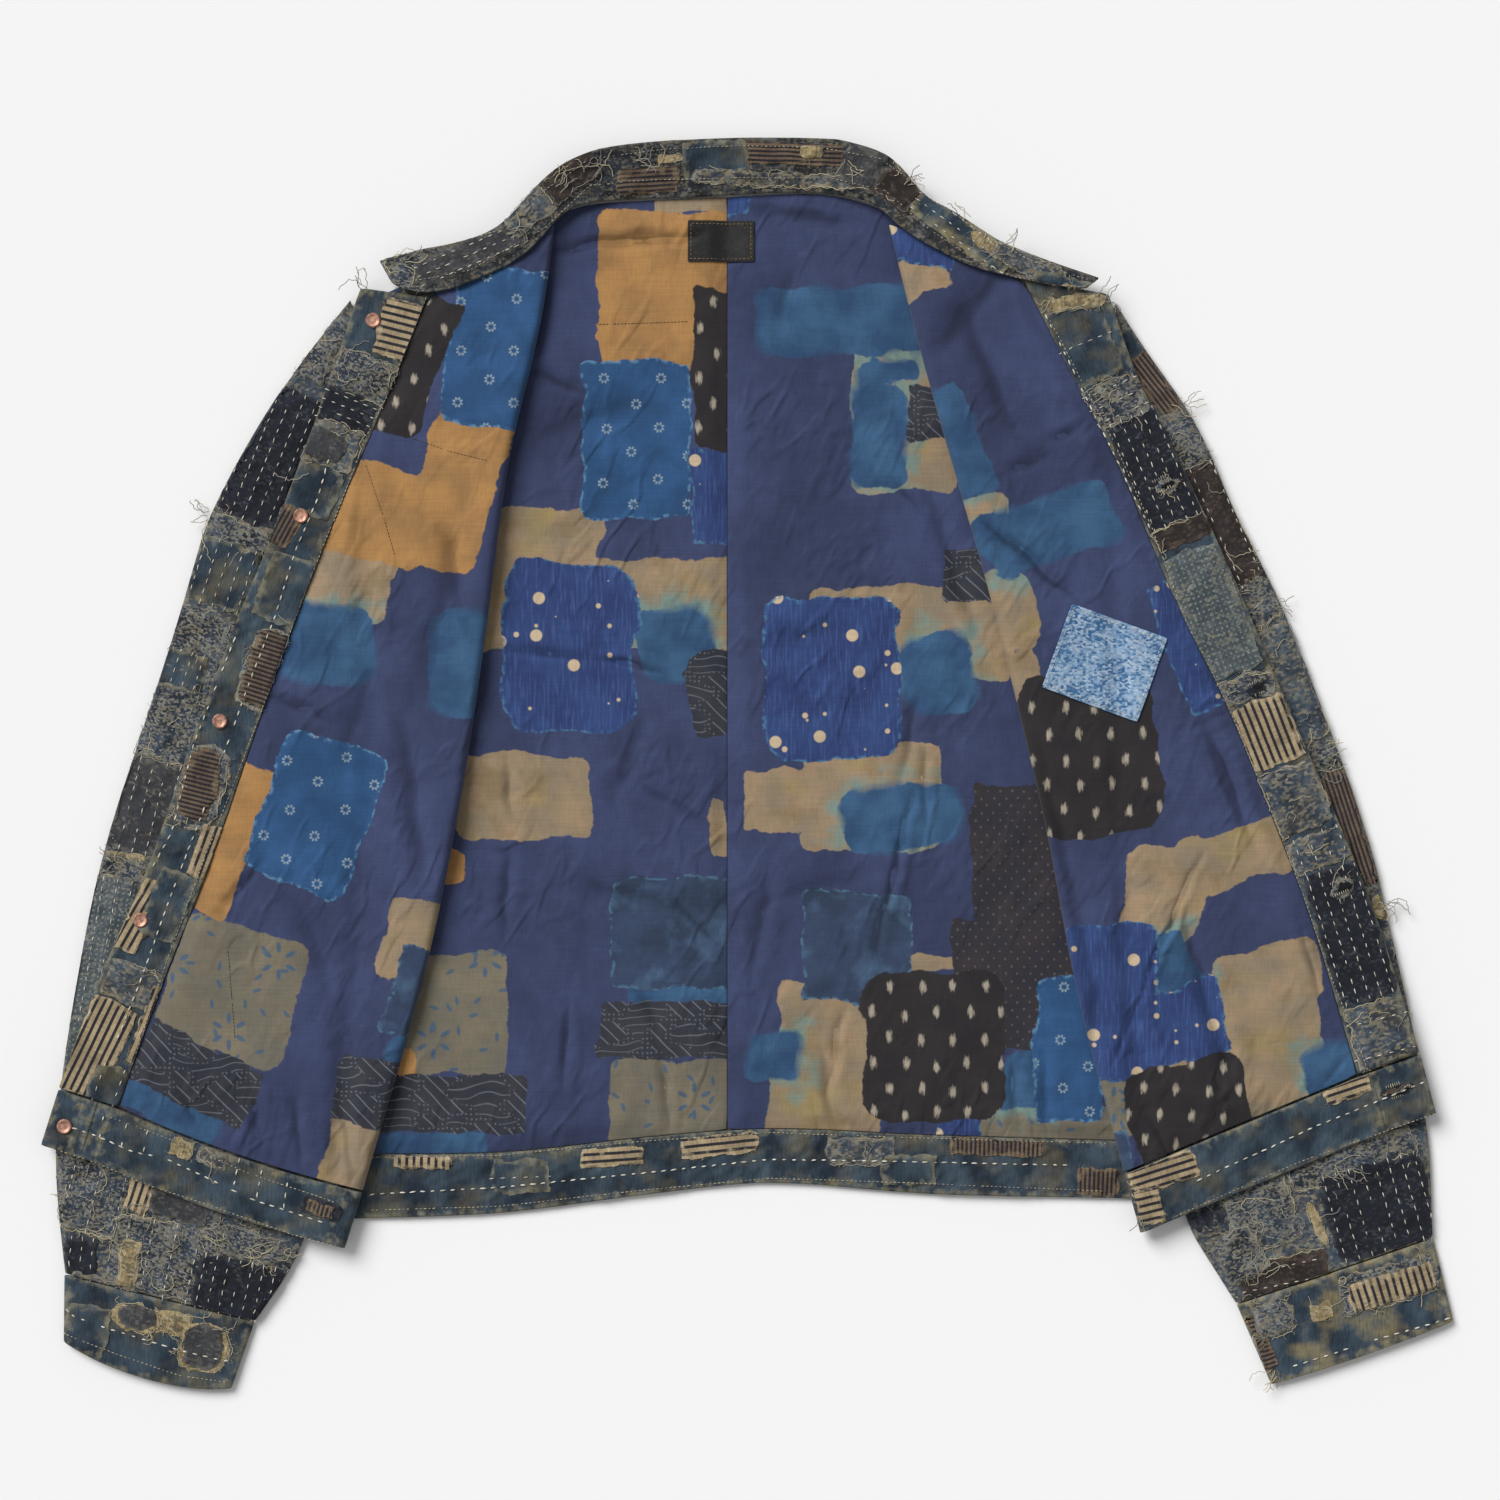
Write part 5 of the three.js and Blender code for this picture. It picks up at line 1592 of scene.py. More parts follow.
LEFT_FRONT_PATCHES = (
    Patch(P.KASURI, 388, 292, 442, 438, -22, 6), Patch(P.RING, 446, 268, 552, 430, -8, 14),
    Patch(P.OCHRE, 420, 396, 500, 572, -15, 14), Patch(P.OCHRE, 316, 462, 424, 560, -12, 6),
    Patch(P.TAN, 296, 540, 392, 616, -14, 8), Patch(P.TEAL, 272, 606, 378, 684, -8, 26),
    Patch(P.TEAL, 430, 610, 500, 716, 0, 24), Patch(P.RING, 263, 740, 370, 890, -20, 16),
    Patch(P.OCHRE, 210, 760, 254, 918, -22, 6), Patch(P.LEAF, 168, 926, 298, 1056, -15, 14),
    Patch(P.LINES, 132, 1042, 262, 1106, -26, 4), Patch(P.TEAL, 106, 1084, 226, 1124, -26, 10),
    Patch(P.TAN, 384, 900, 442, 980, -14, 10), Patch(P.DUSTY, 393, 942, 427, 1036, -17, 5),
    Patch(P.TEAL, 388, 1030, 412, 1062, -14, 4), Patch(P.LINES, 335, 1058, 410, 1126, -10, 4),
    Patch(P.TAN, 322, 1122, 392, 1210, -12, 6),
)
RIGHT_FRONT_PATCHES = (
    Patch(P.ROYAL, 880, 204, 962, 264, -14, 6), Patch(P.TAN, 893, 258, 950, 298, 14, 10),
    Patch(P.TEAL, 936, 384, 978, 500, 22, 6), Patch(P.TAN, 950, 498, 1010, 534, 10, 8),
    Patch(P.TEAL, 984, 496, 1116, 562, 18, 8), Patch(P.TEAL, 962, 530, 1028, 566, -36, 6),
    Patch(P.TAN, 980, 568, 1036, 650, 12, 22), Patch(P.TAN, 1006, 650, 1052, 784, 12, 16),
    Patch(P.KASURI, 1024, 668, 1156, 836, 8, 26), Patch(P.ROYAL, 1164, 574, 1216, 712, 22, 4),
    Patch(P.TAN, 1122, 848, 1200, 946, -6, 22), Patch(P.TAN, 1180, 826, 1292, 884, 14, 12),
    Patch(P.TEAL, 1142, 934, 1192, 1000, 20, 5), Patch(P.TAN, 1218, 944, 1322, 1010, 14, 14),
    Patch(P.TAN, 1222, 990, 1322, 1116, 8, 8), Patch(P.TEAL, 1304, 1042, 1372, 1104, 16, 6),
    Patch(P.ROYAL, 1068, 922, 1160, 1078, 4, 10), Patch(P.ROYAL, 1150, 985, 1222, 1062, 16, 6),
    Patch(P.TAN, 1142, 1054, 1192, 1090, 22, 8), Patch(P.KASURI, 1130, 1060, 1252, 1166, 14, 22),
    Patch(P.LEAF, 1094, 1074, 1146, 1136, 20, 10), Patch(P.DUSTY, 1100, 1130, 1130, 1180, 4, 4),
)
BACK_LEFT_CREASES = (
    Crease(512, 650, 578, 658, 3.2, 2.0), Crease(603, 660, 658, 671, 2.2, 2.4),
    Crease(567, 1010, 562, 1085, 3.5, 2.1), Crease(508, 860, 503, 930, 4.0, 2.2),
    Crease(556, 247, 694, 237, 3.8, 2.8), Crease(640, 720, 610, 800, 8.0, 1.8),
    Crease(560, 880, 700, 905, 9.0, 1.5), Crease(540, 430, 640, 400, 8.0, 1.5),
    Crease(660, 1060, 668, 1120, 4.0, 1.8), Crease(507, 764, 510, 815, 3.6, 1.8),
    Crease(680, 907, 714, 944, 2.6, 1.8), Crease(530, 372, 592, 394, 6.0, 2.2),
    Crease(545, 280, 530, 350, 9.0, 2.2), Crease(627, 778, 710, 822, 6.0, 1.4),
    Crease(640, 990, 655, 1040, 5.0, 1.2),
)
BACK_RIGHT_CREASES = (
    Crease(912, 795, 878, 945, 2.6, 2.6), Crease(752, 207, 850, 218, 7.0, 2.5),
    Crease(795, 260, 775, 330, 7.0, 1.5), Crease(930, 500, 975, 640, 7.0, 2.0),
    Crease(760, 900, 860, 870, 9.0, 1.5), Crease(1010, 1060, 1018, 1120, 4.0, 2.0),
    Crease(820, 1050, 832, 1125, 4.5, 1.8), Crease(770, 640, 850, 620, 8.0, 1.4),
    Crease(915, 698, 902, 770, 5.0, 2.2), Crease(768, 885, 750, 972, 5.0, 1.8),
    Crease(922, 742, 925, 822, 2.8, 1.8), Crease(898, 486, 920, 508, 3.0, 1.6),
    Crease(842, 1016, 827, 1082, 3.4, 2.0), Crease(1040, 1060, 1046, 1125, 4.0, 1.6),
)
LEFT_FRONT_CREASES = (
    Crease(250, 1085, 262, 1140, 4.0, 2.1), Crease(292, 1095, 300, 1165, 4.0, 2.2),
    Crease(340, 1100, 352, 1180, 4.5, 2.1), Crease(275, 700, 330, 720, 3.4, 2.0),
    Crease(228, 905, 256, 868, 3.0, 2.0), Crease(440, 520, 470, 640, 9.0, 2.1),
    Crease(400, 720, 420, 880, 9.0, 2.4), Crease(180, 1090, 196, 1125, 3.6, 1.8),
    Crease(370, 660, 340, 780, 8.0, 1.5), Crease(342, 1016, 330, 1168, 7.0, 1.8),
    Crease(465, 500, 420, 690, 9.0, 1.6), Crease(300, 905, 330, 1000, 8.0, 1.4),
)
RIGHT_FRONT_CREASES = (
    Crease(1197, 860, 1112, 1058, 2.0, 2.8), Crease(984, 526, 1070, 594, 3.6, 3.0),
    Crease(1200, 1140, 1232, 1090, 1.8, 2.4), Crease(1300, 930, 1322, 1000, 3.0, 2.0),
    Crease(1345, 1055, 1318, 1088, 2.6, 1.8), Crease(960, 310, 1010, 430, 9.0, 2.1),
    Crease(1052, 440, 1075, 432, 3.4, 1.8), Crease(1170, 560, 1225, 720, 5.0, 2.0),
    Crease(1200, 720, 1250, 850, 6.0, 2.0), Crease(1090, 1000, 1080, 1110, 7.0, 2.1),
    Crease(1150, 1120, 1176, 1170, 3.4, 1.8), Crease(1180, 915, 1228, 1092, 6.5, 2.8),
    Crease(934, 348, 1002, 270, 8.0, 2.8), Crease(1212, 738, 1236, 806, 6.0, 2.0),
    Crease(1034, 740, 1098, 1020, 8.0, 2.0), Crease(1005, 474, 1048, 453, 4.0, 1.6),
    Crease(1222, 1062, 1207, 1128, 3.0, 1.8),
)

BACK_LEFT_GATHERS = (
    Gather(372, 1152, 735, 1138), Gather(560, 215, 735, 192, 26, 1.0, 18),
)
BACK_RIGHT_GATHERS = (
    Gather(735, 1138, 1110, 1148), Gather(735, 192, 890, 205, 26, 1.0, 18),
)
LEFT_FRONT_GATHERS = (
    Gather(95, 1098, 345, 1196), Gather(440, 290, 150, 1080, 20, 0.8, 16),
)
RIGHT_FRONT_GATHERS = (
    Gather(1125, 1192, 1385, 1082), Gather(1046, 318, 1385, 1080, 20, 0.8, 16),
)
LININGS = {
    "back_lining_left": (BACK_LEFT_PATCHES, BACK_LEFT_CREASES, BACK_LEFT_GATHERS),
    "back_lining_right": (BACK_RIGHT_PATCHES, BACK_RIGHT_CREASES, BACK_RIGHT_GATHERS),
    "front_left_lining": (LEFT_FRONT_PATCHES, LEFT_FRONT_CREASES, LEFT_FRONT_GATHERS),
    "front_right_lining": (RIGHT_FRONT_PATCHES, RIGHT_FRONT_CREASES, RIGHT_FRONT_GATHERS),
}

LEFT_FACING_LIDS = (
    Lid(C.STRIPE, 402, 331, 48, 60, -14), Lid(C.FLECKED, 368, 378, 74, 42, -22),
    Lid(C.NAVY, 347, 413, 54, 38, -22, -4), Lid(C.WORN, 330, 446, 58, 44, -20),
    Lid(C.GREY, 326, 446, 44, 32, -14, 0, 0.5), Lid(C.DENIM, 314, 490, 50, 52, -20),
    Lid(C.RUST, 284, 526, 40, 28, 62), Lid(C.DENIM, 286, 590, 50, 70, -20),
    Lid(C.FLECKED, 268, 672, 48, 86, -18, 0, 0.3), Lid(C.RUST, 268, 670, 38, 76, -18),
    Lid(C.FLECKED, 202, 787, 46, 88, -16, 0, 0.4), Lid(C.RUST, 201, 786, 36, 74, -14, 0, 0.4),
    Lid(C.STRIPE, 206, 852, 56, 22, 70), Lid(C.STRIPE, 141, 915, 76, 30, 60),
    Lid(C.DENIM, 168, 905, 40, 70, -22), Lid(C.WORN, 136, 985, 60, 40, -22),
    Lid(C.STRIPE, 95, 1050, 106, 50, 64), Lid(C.STRIPE, 148, 1026, 82, 16, 68),
    Lid(C.DENIM, 108, 1090, 42, 50, -20, 2, 0.4),
)
RIGHT_FACING_LIDS = (
    Lid(C.DENIM, 1080, 345, 66, 82, 22, -1), Lid(C.CREAMY, 1074, 303, 62, 14, 6, 0, 0.3),
    Lid(C.NAVY, 1153, 470, 58, 120, 23, 5), Lid(C.FLECKED, 1114, 402, 60, 44, 24, -3),
    Lid(C.FLECKED, 1166, 486, 25, 17, 24, 0, 0.8), Lid(C.BROWN, 1180, 533, 58, 24, 22),
    Lid(C.CHECK, 1212, 612, 58, 136, 21), Lid(C.FLECKED, 1246, 688, 60, 28, 18, 0, 0.3),
    Lid(C.NAVY, 1254, 690, 20, 12, 14, 0, 0.8), Lid(C.STRIPE, 1267, 732, 68, 56, -68),
    Lid(C.WORN, 1293, 798, 60, 68, 21), Lid(C.NAVY, 1349, 934, 62, 138, 17, 5),
    Lid(C.WORN, 1320, 850, 62, 36, 20, 4), Lid(C.FLECKED, 1342, 888, 26, 18, 24, 0, 0.8),
    # The last three lids are near-black painted shadows inside the buttonholes.
    Lid(C.WORN, 1380, 1036, 62, 72, 14, -2), Lid(C.GAP, 1166, 486, 16, 7, 25, 0, 0.7),
    Lid(C.GAP, 1257, 686, 15, 7, 25, 0, 0.7), Lid(C.GAP, 1343, 888, 17, 9, 26, 0, 0.7),
)
LEFT_SLEEVE_LIDS = (
    Lid(C.FLECKED, 318, 345, 50, 70, -30), Lid(C.NAVY, 268, 455, 66, 142, -22, 5),
    Lid(C.FLECKED, 235, 533, 74, 28, -22, 0, 0.3), Lid(C.DENIM, 222, 575, 66, 66, -18, 5),
    Lid(C.FLECKED, 192, 650, 84, 80, -18), Lid(C.DENIM, 180, 672, 50, 44, -18, 4),
    Lid(C.FLECKED, 166, 722, 84, 76, -16), Lid(C.GREY, 143, 806, 70, 96, -14, 5),
    Lid(C.CREAMY, 122, 856, 46, 9, -8, 0, 0.3), Lid(C.FLECKED, 118, 868, 54, 22, -12),
    Lid(C.CHECK, 98, 950, 60, 150, -10, 4), Lid(C.CHECK, 82, 1060, 50, 90, -6),
    Lid(C.FLECKED, 108, 1196, 108, 84, -14, 4), Lid(C.STRIPE, 138, 1196, 34, 24, 72),
    Lid(C.GREY, 180, 1205, 60, 30, -16), Lid(C.FLECKED, 170, 1262, 120, 76, -12, 5),
    Lid(C.FLECKED, 252, 1246, 96, 32, -17, 0, 0.3), Lid(C.NAVY, 240, 1294, 96, 66, -12, 8),
    Lid(C.NAVY, 80, 1260, 34, 44, -6, 3), Lid(C.CREAMY, 128, 1272, 20, 64, -6),
    Lid(C.WORN, 100, 1292, 66, 26, -16),
)
RIGHT_SLEEVE_LIDS = (
    Lid(C.DENIM, 1134, 342, 30, 34, 35), Lid(C.RUST, 1158, 381, 66, 34, -52),
    Lid(C.FLECKED, 1190, 436, 50, 62, 26), Lid(C.BROWN, 1227, 525, 46, 134, 24, 2),
    Lid(C.FLECKED, 1260, 602, 44, 44, 22, 0, 0.3), Lid(C.WORN, 1298, 682, 44, 124, 21),
    Lid(C.FLECKED, 1330, 755, 44, 32, 15, 0, 0.3), Lid(C.RUST, 1353, 828, 120, 40, -72),
    Lid(C.CREAMY, 1380, 908, 16, 24, 20, 0, 0.7), Lid(C.WORN, 1396, 975, 40, 90, 16),
    Lid(C.FLECKED, 1352, 1160, 132, 36, 15, 0, 0.2), Lid(C.NAVY, 1380, 1207, 110, 90, 16, 8),
    Lid(C.FLECKED, 1262, 1215, 68, 72, 15), Lid(C.CREAMY, 1317, 1224, 9, 48, 22, 0, 0.5),
    Lid(C.BROWN, 1285, 1275, 90, 36, 12, -2), Lid(C.NAVY, 1196, 1222, 12, 24, 25, 0, 0.8),
    Lid(C.NAVY, 1207, 1217, 12, 24, 20, 0, 0.8), Lid(C.NAVY, 1219, 1213, 13, 22, 10, 0, 0.8),
    Lid(C.FLECKED, 1240, 1256, 46, 50, 30),
)
CUFF_LEFT_LIDS = (
    Lid(C.CREAMY, 172, 1324, 44, 24, -14, 0, 0.3), Lid(C.CREAMY, 136, 1318, 50, 28, -10, 0, 0.6),
    Lid(C.GREY, 137, 1317, 40, 23, -10, 0, 0.6), Lid(C.CREAMY, 203, 1348, 52, 50, -12, 0, 0.5),
    Lid(C.GREY, 203, 1347, 42, 42, -12, 0, 0.5), Lid(C.DENIM, 86, 1330, 44, 50, -10),
)
CUFF_RIGHT_LIDS = (
    Lid(C.FLECKED, 1390, 1284, 104, 42, 16, 0, 0.2), Lid(C.STRIPE, 1392, 1287, 28, 92, -73),
    Lid(C.CREAMY, 1321, 1312, 22, 16, 15), Lid(C.RUST, 1259, 1344, 20, 58, 20),
    Lid(C.FLECKED, 1274, 1318, 40, 34, 18, 0, 0.3),
)
BAND_LEFT_LIDS = (
    Lid(C.CREAMY, 182, 1148, 22, 18, -20), Lid(C.WORN, 213, 1158, 30, 18, -20),
    Lid(C.NAVY, 322, 1208, 40, 18, -18), Lid(C.RUST, 322, 1209, 12, 28, 74),
)
BAND_RIGHT_LIDS = (
    Lid(C.STRIPE, 1162, 1171, 72, 30, 17), Lid(C.NAVY, 1136, 1206, 22, 34, 14),
    Lid(C.STRIPE, 1148, 1206, 30, 36, 12), Lid(C.STRIPE, 1346, 1088, 48, 22, 18),
    Lid(C.NAVY, 1396, 1090, 34, 12, 16, 0, 0.5), Lid(C.BROWN, 1396, 1090, 26, 4, 18),
)
BAND_BACK_LIDS = (
    Lid(C.STRIPE, 422, 1163, 13, 58, 88), Lid(C.STRIPE, 612, 1158, 64, 18, 4),
    Lid(C.STRIPE, 718, 1145, 78, 20, 6), Lid(C.RUST, 997, 1147, 20, 96, 88),
    Lid(C.RUST, 1098, 1183, 30, 42, 88), Lid(C.DENIM, 520, 1178, 60, 34, 2, -1),
    Lid(C.WORN, 860, 1152, 70, 26, 0), Lid(C.DENIM, 910, 1172, 54, 30, 0),
)
COLLAR_LIDS = (
    Lid(C.FLECKED, 404, 272, 50, 44, -10), Lid(C.GREY, 472, 256, 118, 30, 23, -3),
    Lid(C.WORN, 530, 208, 58, 38, 38), Lid(C.BROWN, 572, 177, 60, 32, 36),
    Lid(C.RUST, 648, 181, 62, 24, 4), Lid(C.CREAMY, 668, 160, 26, 8, 6, 0, 0.3),
    Lid(C.DENIM, 716, 160, 68, 40, 2), Lid(C.WORN, 722, 176, 60, 14, 2, 0, 0.3),
    Lid(C.RUST, 795, 153, 98, 24, -2), Lid(C.CREAMY, 812, 152, 22, 11, -4),
    Lid(C.WORN, 800, 180, 150, 15, -2), Lid(C.GREY, 862, 168, 44, 40, -26),
    Lid(C.BROWN, 898, 192, 44, 32, -40), Lid(C.FADED, 962, 234, 116, 30, -36, -3),
    Lid(C.CREAMY, 986, 246, 40, 14, -36, 0, 0.5), Lid(C.WORN, 1028, 266, 76, 24, -30),
    Lid(C.DENIM, 1066, 288, 70, 20, -12), Lid(C.CREAMY, 1080, 292, 44, 8, -8, 0, 0.4),
)

RUNNING = (
    ("front_left_facing", (329, 462), (318, 500), (296, 552), (276, 617), (244, 700), (224, 756)),
    ("front_left_facing", (205, 810), (184, 863), (157, 937), (140, 985), (118, 1040)),
    ("front_left_facing", (235, 640), (195, 743), (173, 832), (153, 868)),
    ("front_right_facing", (1046, 318), (1071, 368), (1110, 450), (1150, 530)),
    ("cuff_left", (62, 1312), (105, 1328), (178, 1350), (230, 1362)),
    ("cuff_right", (1296, 1366), (1370, 1342), (1452, 1318)),
    (
        "hem_band_left", (76, 1128), (101, 1137), (136, 1152), (164, 1157), (205, 1176), (256, 1200),
        (325, 1222),
    ),
    ("hem_band_left", (104, 1118), (100, 1140)),
    ("hem_band_left", (127, 1126), (122, 1148)),
    ("hem_band_left", (148, 1132), (144, 1153)),
    ("hem_band_left", (240, 1160), (234, 1187)),
    ("hem_band_left", (262, 1172), (257, 1199)),
    ("hem_band_left", (288, 1184), (284, 1210)),
    ("hem_band_right", (1199, 1179), (1310, 1128), (1425, 1081)),
    ("hem_band_back", (372, 1195), (500, 1188), (640, 1174), (770, 1160), (900, 1162), (1070, 1166)),
)
TOPSTITCH = (
    ("hem_band_left", (52, 1153), (126, 1177), (208, 1204), (305, 1238), (341, 1247)),
    ("hem_band_right", (1176, 1215), (1300, 1161), (1437, 1112)),
    ("hem_band_back", (372, 1211), (500, 1207), (640, 1191), (770, 1179), (900, 1183), (1110, 1192)),
    ("hem_band_back", (372, 1158), (500, 1156), (640, 1142), (770, 1133), (900, 1138), (1110, 1144)),
    ("hem_band_left", (104, 1114), (180, 1142), (250, 1173), (338, 1202)),
    ("front_left_facing", (436, 302), (368, 435), (331, 530), (306, 610), (270, 690)),
    ("front_left_facing", (270, 690), (240, 770), (205, 860), (168, 960), (136, 1056)),
    ("front_right_facing", (1050, 322), (1077, 374), (1112, 440), (1152, 530), (1192, 640)),
    ("front_right_facing", (1192, 640), (1232, 740), (1272, 830), (1312, 930), (1374, 1088)),
    ("collar", (392, 258), (440, 248), (500, 232), (540, 196), (590, 160), (660, 150), (740, 146)),
    ("collar", (740, 146), (820, 148), (880, 160), (930, 196), (975, 232), (1030, 262), (1090, 282)),
    ("collar", (400, 285), (470, 272), (545, 230), (590, 186), (650, 180), (740, 178)),
    ("collar", (740, 178), (830, 178), (885, 192), (925, 228), (975, 262), (1040, 290)),
    ("cuff_left", (64, 1334), (120, 1356), (180, 1376), (228, 1383)),
)
# Fine dark seams in the printed cloth.
DARK_SEAMS = (
    ("back_lining_left", (600, 324), (690, 321)),
    ("front_left_lining", (409, 437), (450, 452), (490, 462)),
    ("front_left_lining", (367, 467), (385, 520), (396, 558)),
    ("front_left_lining", (229, 952), (236, 1040)),
)
# Worn buttonholes: piece, middle in photo pixels and turn in degrees.
BUTTONHOLES = (
    ("front_right_facing", 1163, 484, 25),
    ("front_right_facing", 1256, 688, 25),
    ("front_right_facing", 1340, 886, 22),
    ("hem_band_right", 1396, 1090, 18),
)
HOLE_HALF_LENGTH = 9
HOLE_HALF_WIDTH = 6.0
# Stray threads of one root start within this many pixels and fan out by this many degrees.
STRAY_SPREAD = 6
STRAY_FAN = 40
STRAYS = (
    Stray("collar", 372, 296, 130, 26), Stray("collar", 640, 160, 10, 34),
    Stray("collar", 1000, 240, -20, 36), Stray("front_right_facing", 1110, 402, -60, 30),
    Stray("front_left_facing", 310, 470, -120, 26), Stray("sleeve_right_top", 1330, 762, -50, 34),
    Stray("sleeve_right_top", 1385, 905, -30, 26), Stray("sleeve_right_top", 1230, 540, -60, 30),
    Stray("sleeve_right_top", 1175, 410, 20, 22), Stray("sleeve_right_top", 1240, 1240, -40, 40),
    Stray("sleeve_left_top", 205, 520, -110, 30), Stray("sleeve_left_top", 120, 1225, 20, 44),
    Stray("sleeve_left_top", 300, 1255, -150, 36), Stray("cuff_right", 1270, 1370, -120, 20),
    Stray("sleeve_right_top", 1188, 404, 15, 12, 5), Stray("sleeve_right_top", 1276, 604, -10, 12, 5),
    Stray("sleeve_right_top", 1332, 750, 0, 12, 4), Stray("sleeve_right_top", 1384, 906, -20, 16, 6),
    Stray("sleeve_right_top", 1400, 1010, -40, 12, 3), Stray("sleeve_left_top", 206, 516, 160, 14, 6),
    Stray("sleeve_left_top", 116, 862, 190, 12, 5), Stray("sleeve_left_top", 66, 1200, 180, 10, 3),
    Stray("front_left_facing", 362, 290, 120, 16, 4), Stray("front_right_facing", 1100, 300, 30, 16, 5),
    Stray("collar", 590, 172, 35, 22, 5), Stray("collar", 505, 232, 30, 20, 4),
    Stray("collar", 400, 264, 10, 18, 4), Stray("collar", 845, 165, -80, 14, 4),
    Stray("collar", 950, 208, -35, 16, 3), Stray("collar", 560, 190, 60, 14, 6),
    Stray("collar", 640, 162, 20, 14, 5), Stray("collar", 905, 182, 40, 14, 5),
    Stray("collar", 1010, 248, 40, 14, 4), Stray("hem_band_right", 1140, 1212, -90, 12, 4),
    Stray("cuff_right", 1275, 1376, -80, 14, 5), Stray("sleeve_right_top", 1340, 1166, -30, 18, 8),
    Stray("sleeve_left_top", 250, 1252, -20, 18, 8), Stray("sleeve_left_top", 200, 1230, 10, 18, 6),
)
NECK_BORDER = Lid(Cloth.NAVY, 721, 241, 60, 35)
SIDE_BORDER = Lid(Cloth.NAVY, 1103.6, 663, 95, 82, -20)


@dataclass
class Jacket:
    """The whole jacket: cloth shells, patches, stitches, frayed threads, labels and copper tack backs."""

    stitches: Guides = field(default_factory=Guides)
    loose: Guides = field(default_factory=Guides)
    frays: dict[str, Guides] = field(default_factory=dict)
    grounds: dict[str, Ground] = field(default_factory=dict)
    forms: dict[str, Ground] = field(default_factory=dict)

    def build(self) -> None:
        """Builds every piece in order, from the cloth below to the threads on top."""
        self.hidden_cloth()
        self.lining()
        self.outer_cloth()
        self.labels()
        self.sew()
        self.fray()
        self.tacks()

    def hidden_cloth(self) -> None:
        """Dresses the outer shell that lies face down under the lining and sleeves."""
        for node in ("back_shell", "front_left_shell", "front_right_shell"):
            ClothShell(node, "shell_cloth", HIDDEN_CLOTH, levels=1, swell_mm=0.0, pucker_mm=0.0).build()
        for node in ("sleeve_left_under", "sleeve_right_under"):
            ClothShell(node, "sleeve_cloth", HIDDEN_CLOTH, swell_mm=0.0, pucker_mm=0.0).build()

    def lining(self) -> None:
        """Dresses the four printed lining pieces."""
        for seed, (node, (patches, creases, gathers)) in enumerate(LININGS.items()):
            below = "back_shell" if node.startswith("back") else node.replace("lining", "shell")
            shell = ClothShell(
                node, "lining_cloth", LINING, swell_mm=1.6, swell_wave_mm=70, pucker_mm=0.18,
                pucker_wave_mm=13, calm_mm=12, loft_mm=2.4, sink_mm=0.1, creases=creases, gathers=gathers,
                patches=patches, rests_on=(below,), split_top=True, seed=seed * 9 + 3,
            )
            self.grounds[node] = Ground(shell.build().data)
            self.forms[node] = Ground(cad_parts[node].data)

    def outer_cloth(self) -> None:
        """Dresses the facings, hem bands, sleeves, cuffs and collar, and sews their patches on."""
        rows = (
            ("front_left_facing", "facing_cloth", C.DENIM, LEFT_FACING_LIDS, "front_left_shell", "left"),
            ("front_right_facing", "facing_cloth", C.DENIM, RIGHT_FACING_LIDS, "front_right_shell", "right"),
            ("hem_band_back", "band_cloth", C.DENIM, BAND_BACK_LIDS, "floor", "hem"),
            ("hem_band_left", "band_cloth", C.DENIM, BAND_LEFT_LIDS, "sleeve_left_top", "hem"),
            ("hem_band_right", "band_cloth", C.DENIM, BAND_RIGHT_LIDS, "sleeve_right_top", "hem"),
            ("sleeve_left_top", "sleeve_cloth", C.WORN, LEFT_SLEEVE_LIDS, "sleeve_left_under", "left"),
            ("sleeve_right_top", "sleeve_cloth", C.WORN, RIGHT_SLEEVE_LIDS, "sleeve_right_under", "right"),
            ("cuff_left", "cuff_cloth", C.DENIM, CUFF_LEFT_LIDS, "floor", "left"),
            ("cuff_right", "cuff_cloth", C.FADED, CUFF_RIGHT_LIDS, "floor", "right"),
            ("collar", "collar_cloth", C.PICKED, COLLAR_LIDS, "back_shell", "hem"),
        )
        for seed, (node, slot, cloth, lids, below, group) in enumerate(rows):
            shell = ClothShell(
                node, slot, CLOTH_FINISHES[cloth], swell_mm=1.0, swell_wave_mm=34, pucker_mm=0.7,
                pucker_wave_mm=10, calm_mm=5, sink_mm=0.9, rests_on=(below,), split_top=True,
                seed=seed * 7 + 60,
            )
            if node == "collar":
                shell = replace(shell, swell_mm=1.5, swell_wave_mm=24.0, pucker_mm=0.9)
            self.grounds[node] = Ground(shell.build().data)
            fray = self.frays.setdefault(group, Guides())
            work = PatchWork(
                node + "_patches", slot, self.grounds[node], lids, self.stitches, fray, self.loose,
                seed=seed * 40 + 5,
            )
            work.build()

    def labels(self) -> None:
        """Dresses the bare neck label and the bare side label."""
        neck = ClothShell(
            "neck_label", "neck_label_cloth", NECK_LABEL_CLOTH, levels=3, swell_mm=0.1, swell_wave_mm=30,
            pucker_mm=0.05, rests_on=("back_lining_left", "back_lining_right"), seed=90,
        )
        side = ClothShell(
            "side_label", "side_label_cloth", SIDE_LABEL_CLOTH, levels=3, swell_mm=0.25, swell_wave_mm=40,
            pucker_mm=0.05, rests_on=("front_right_lining",), seed=91,
        )
        for shell in (neck, side):
            shell.carried_by = tuple((self.forms[node], self.grounds[node]) for node in shell.rests_on)
            self.grounds[shell.node] = Ground(shell.build().data)

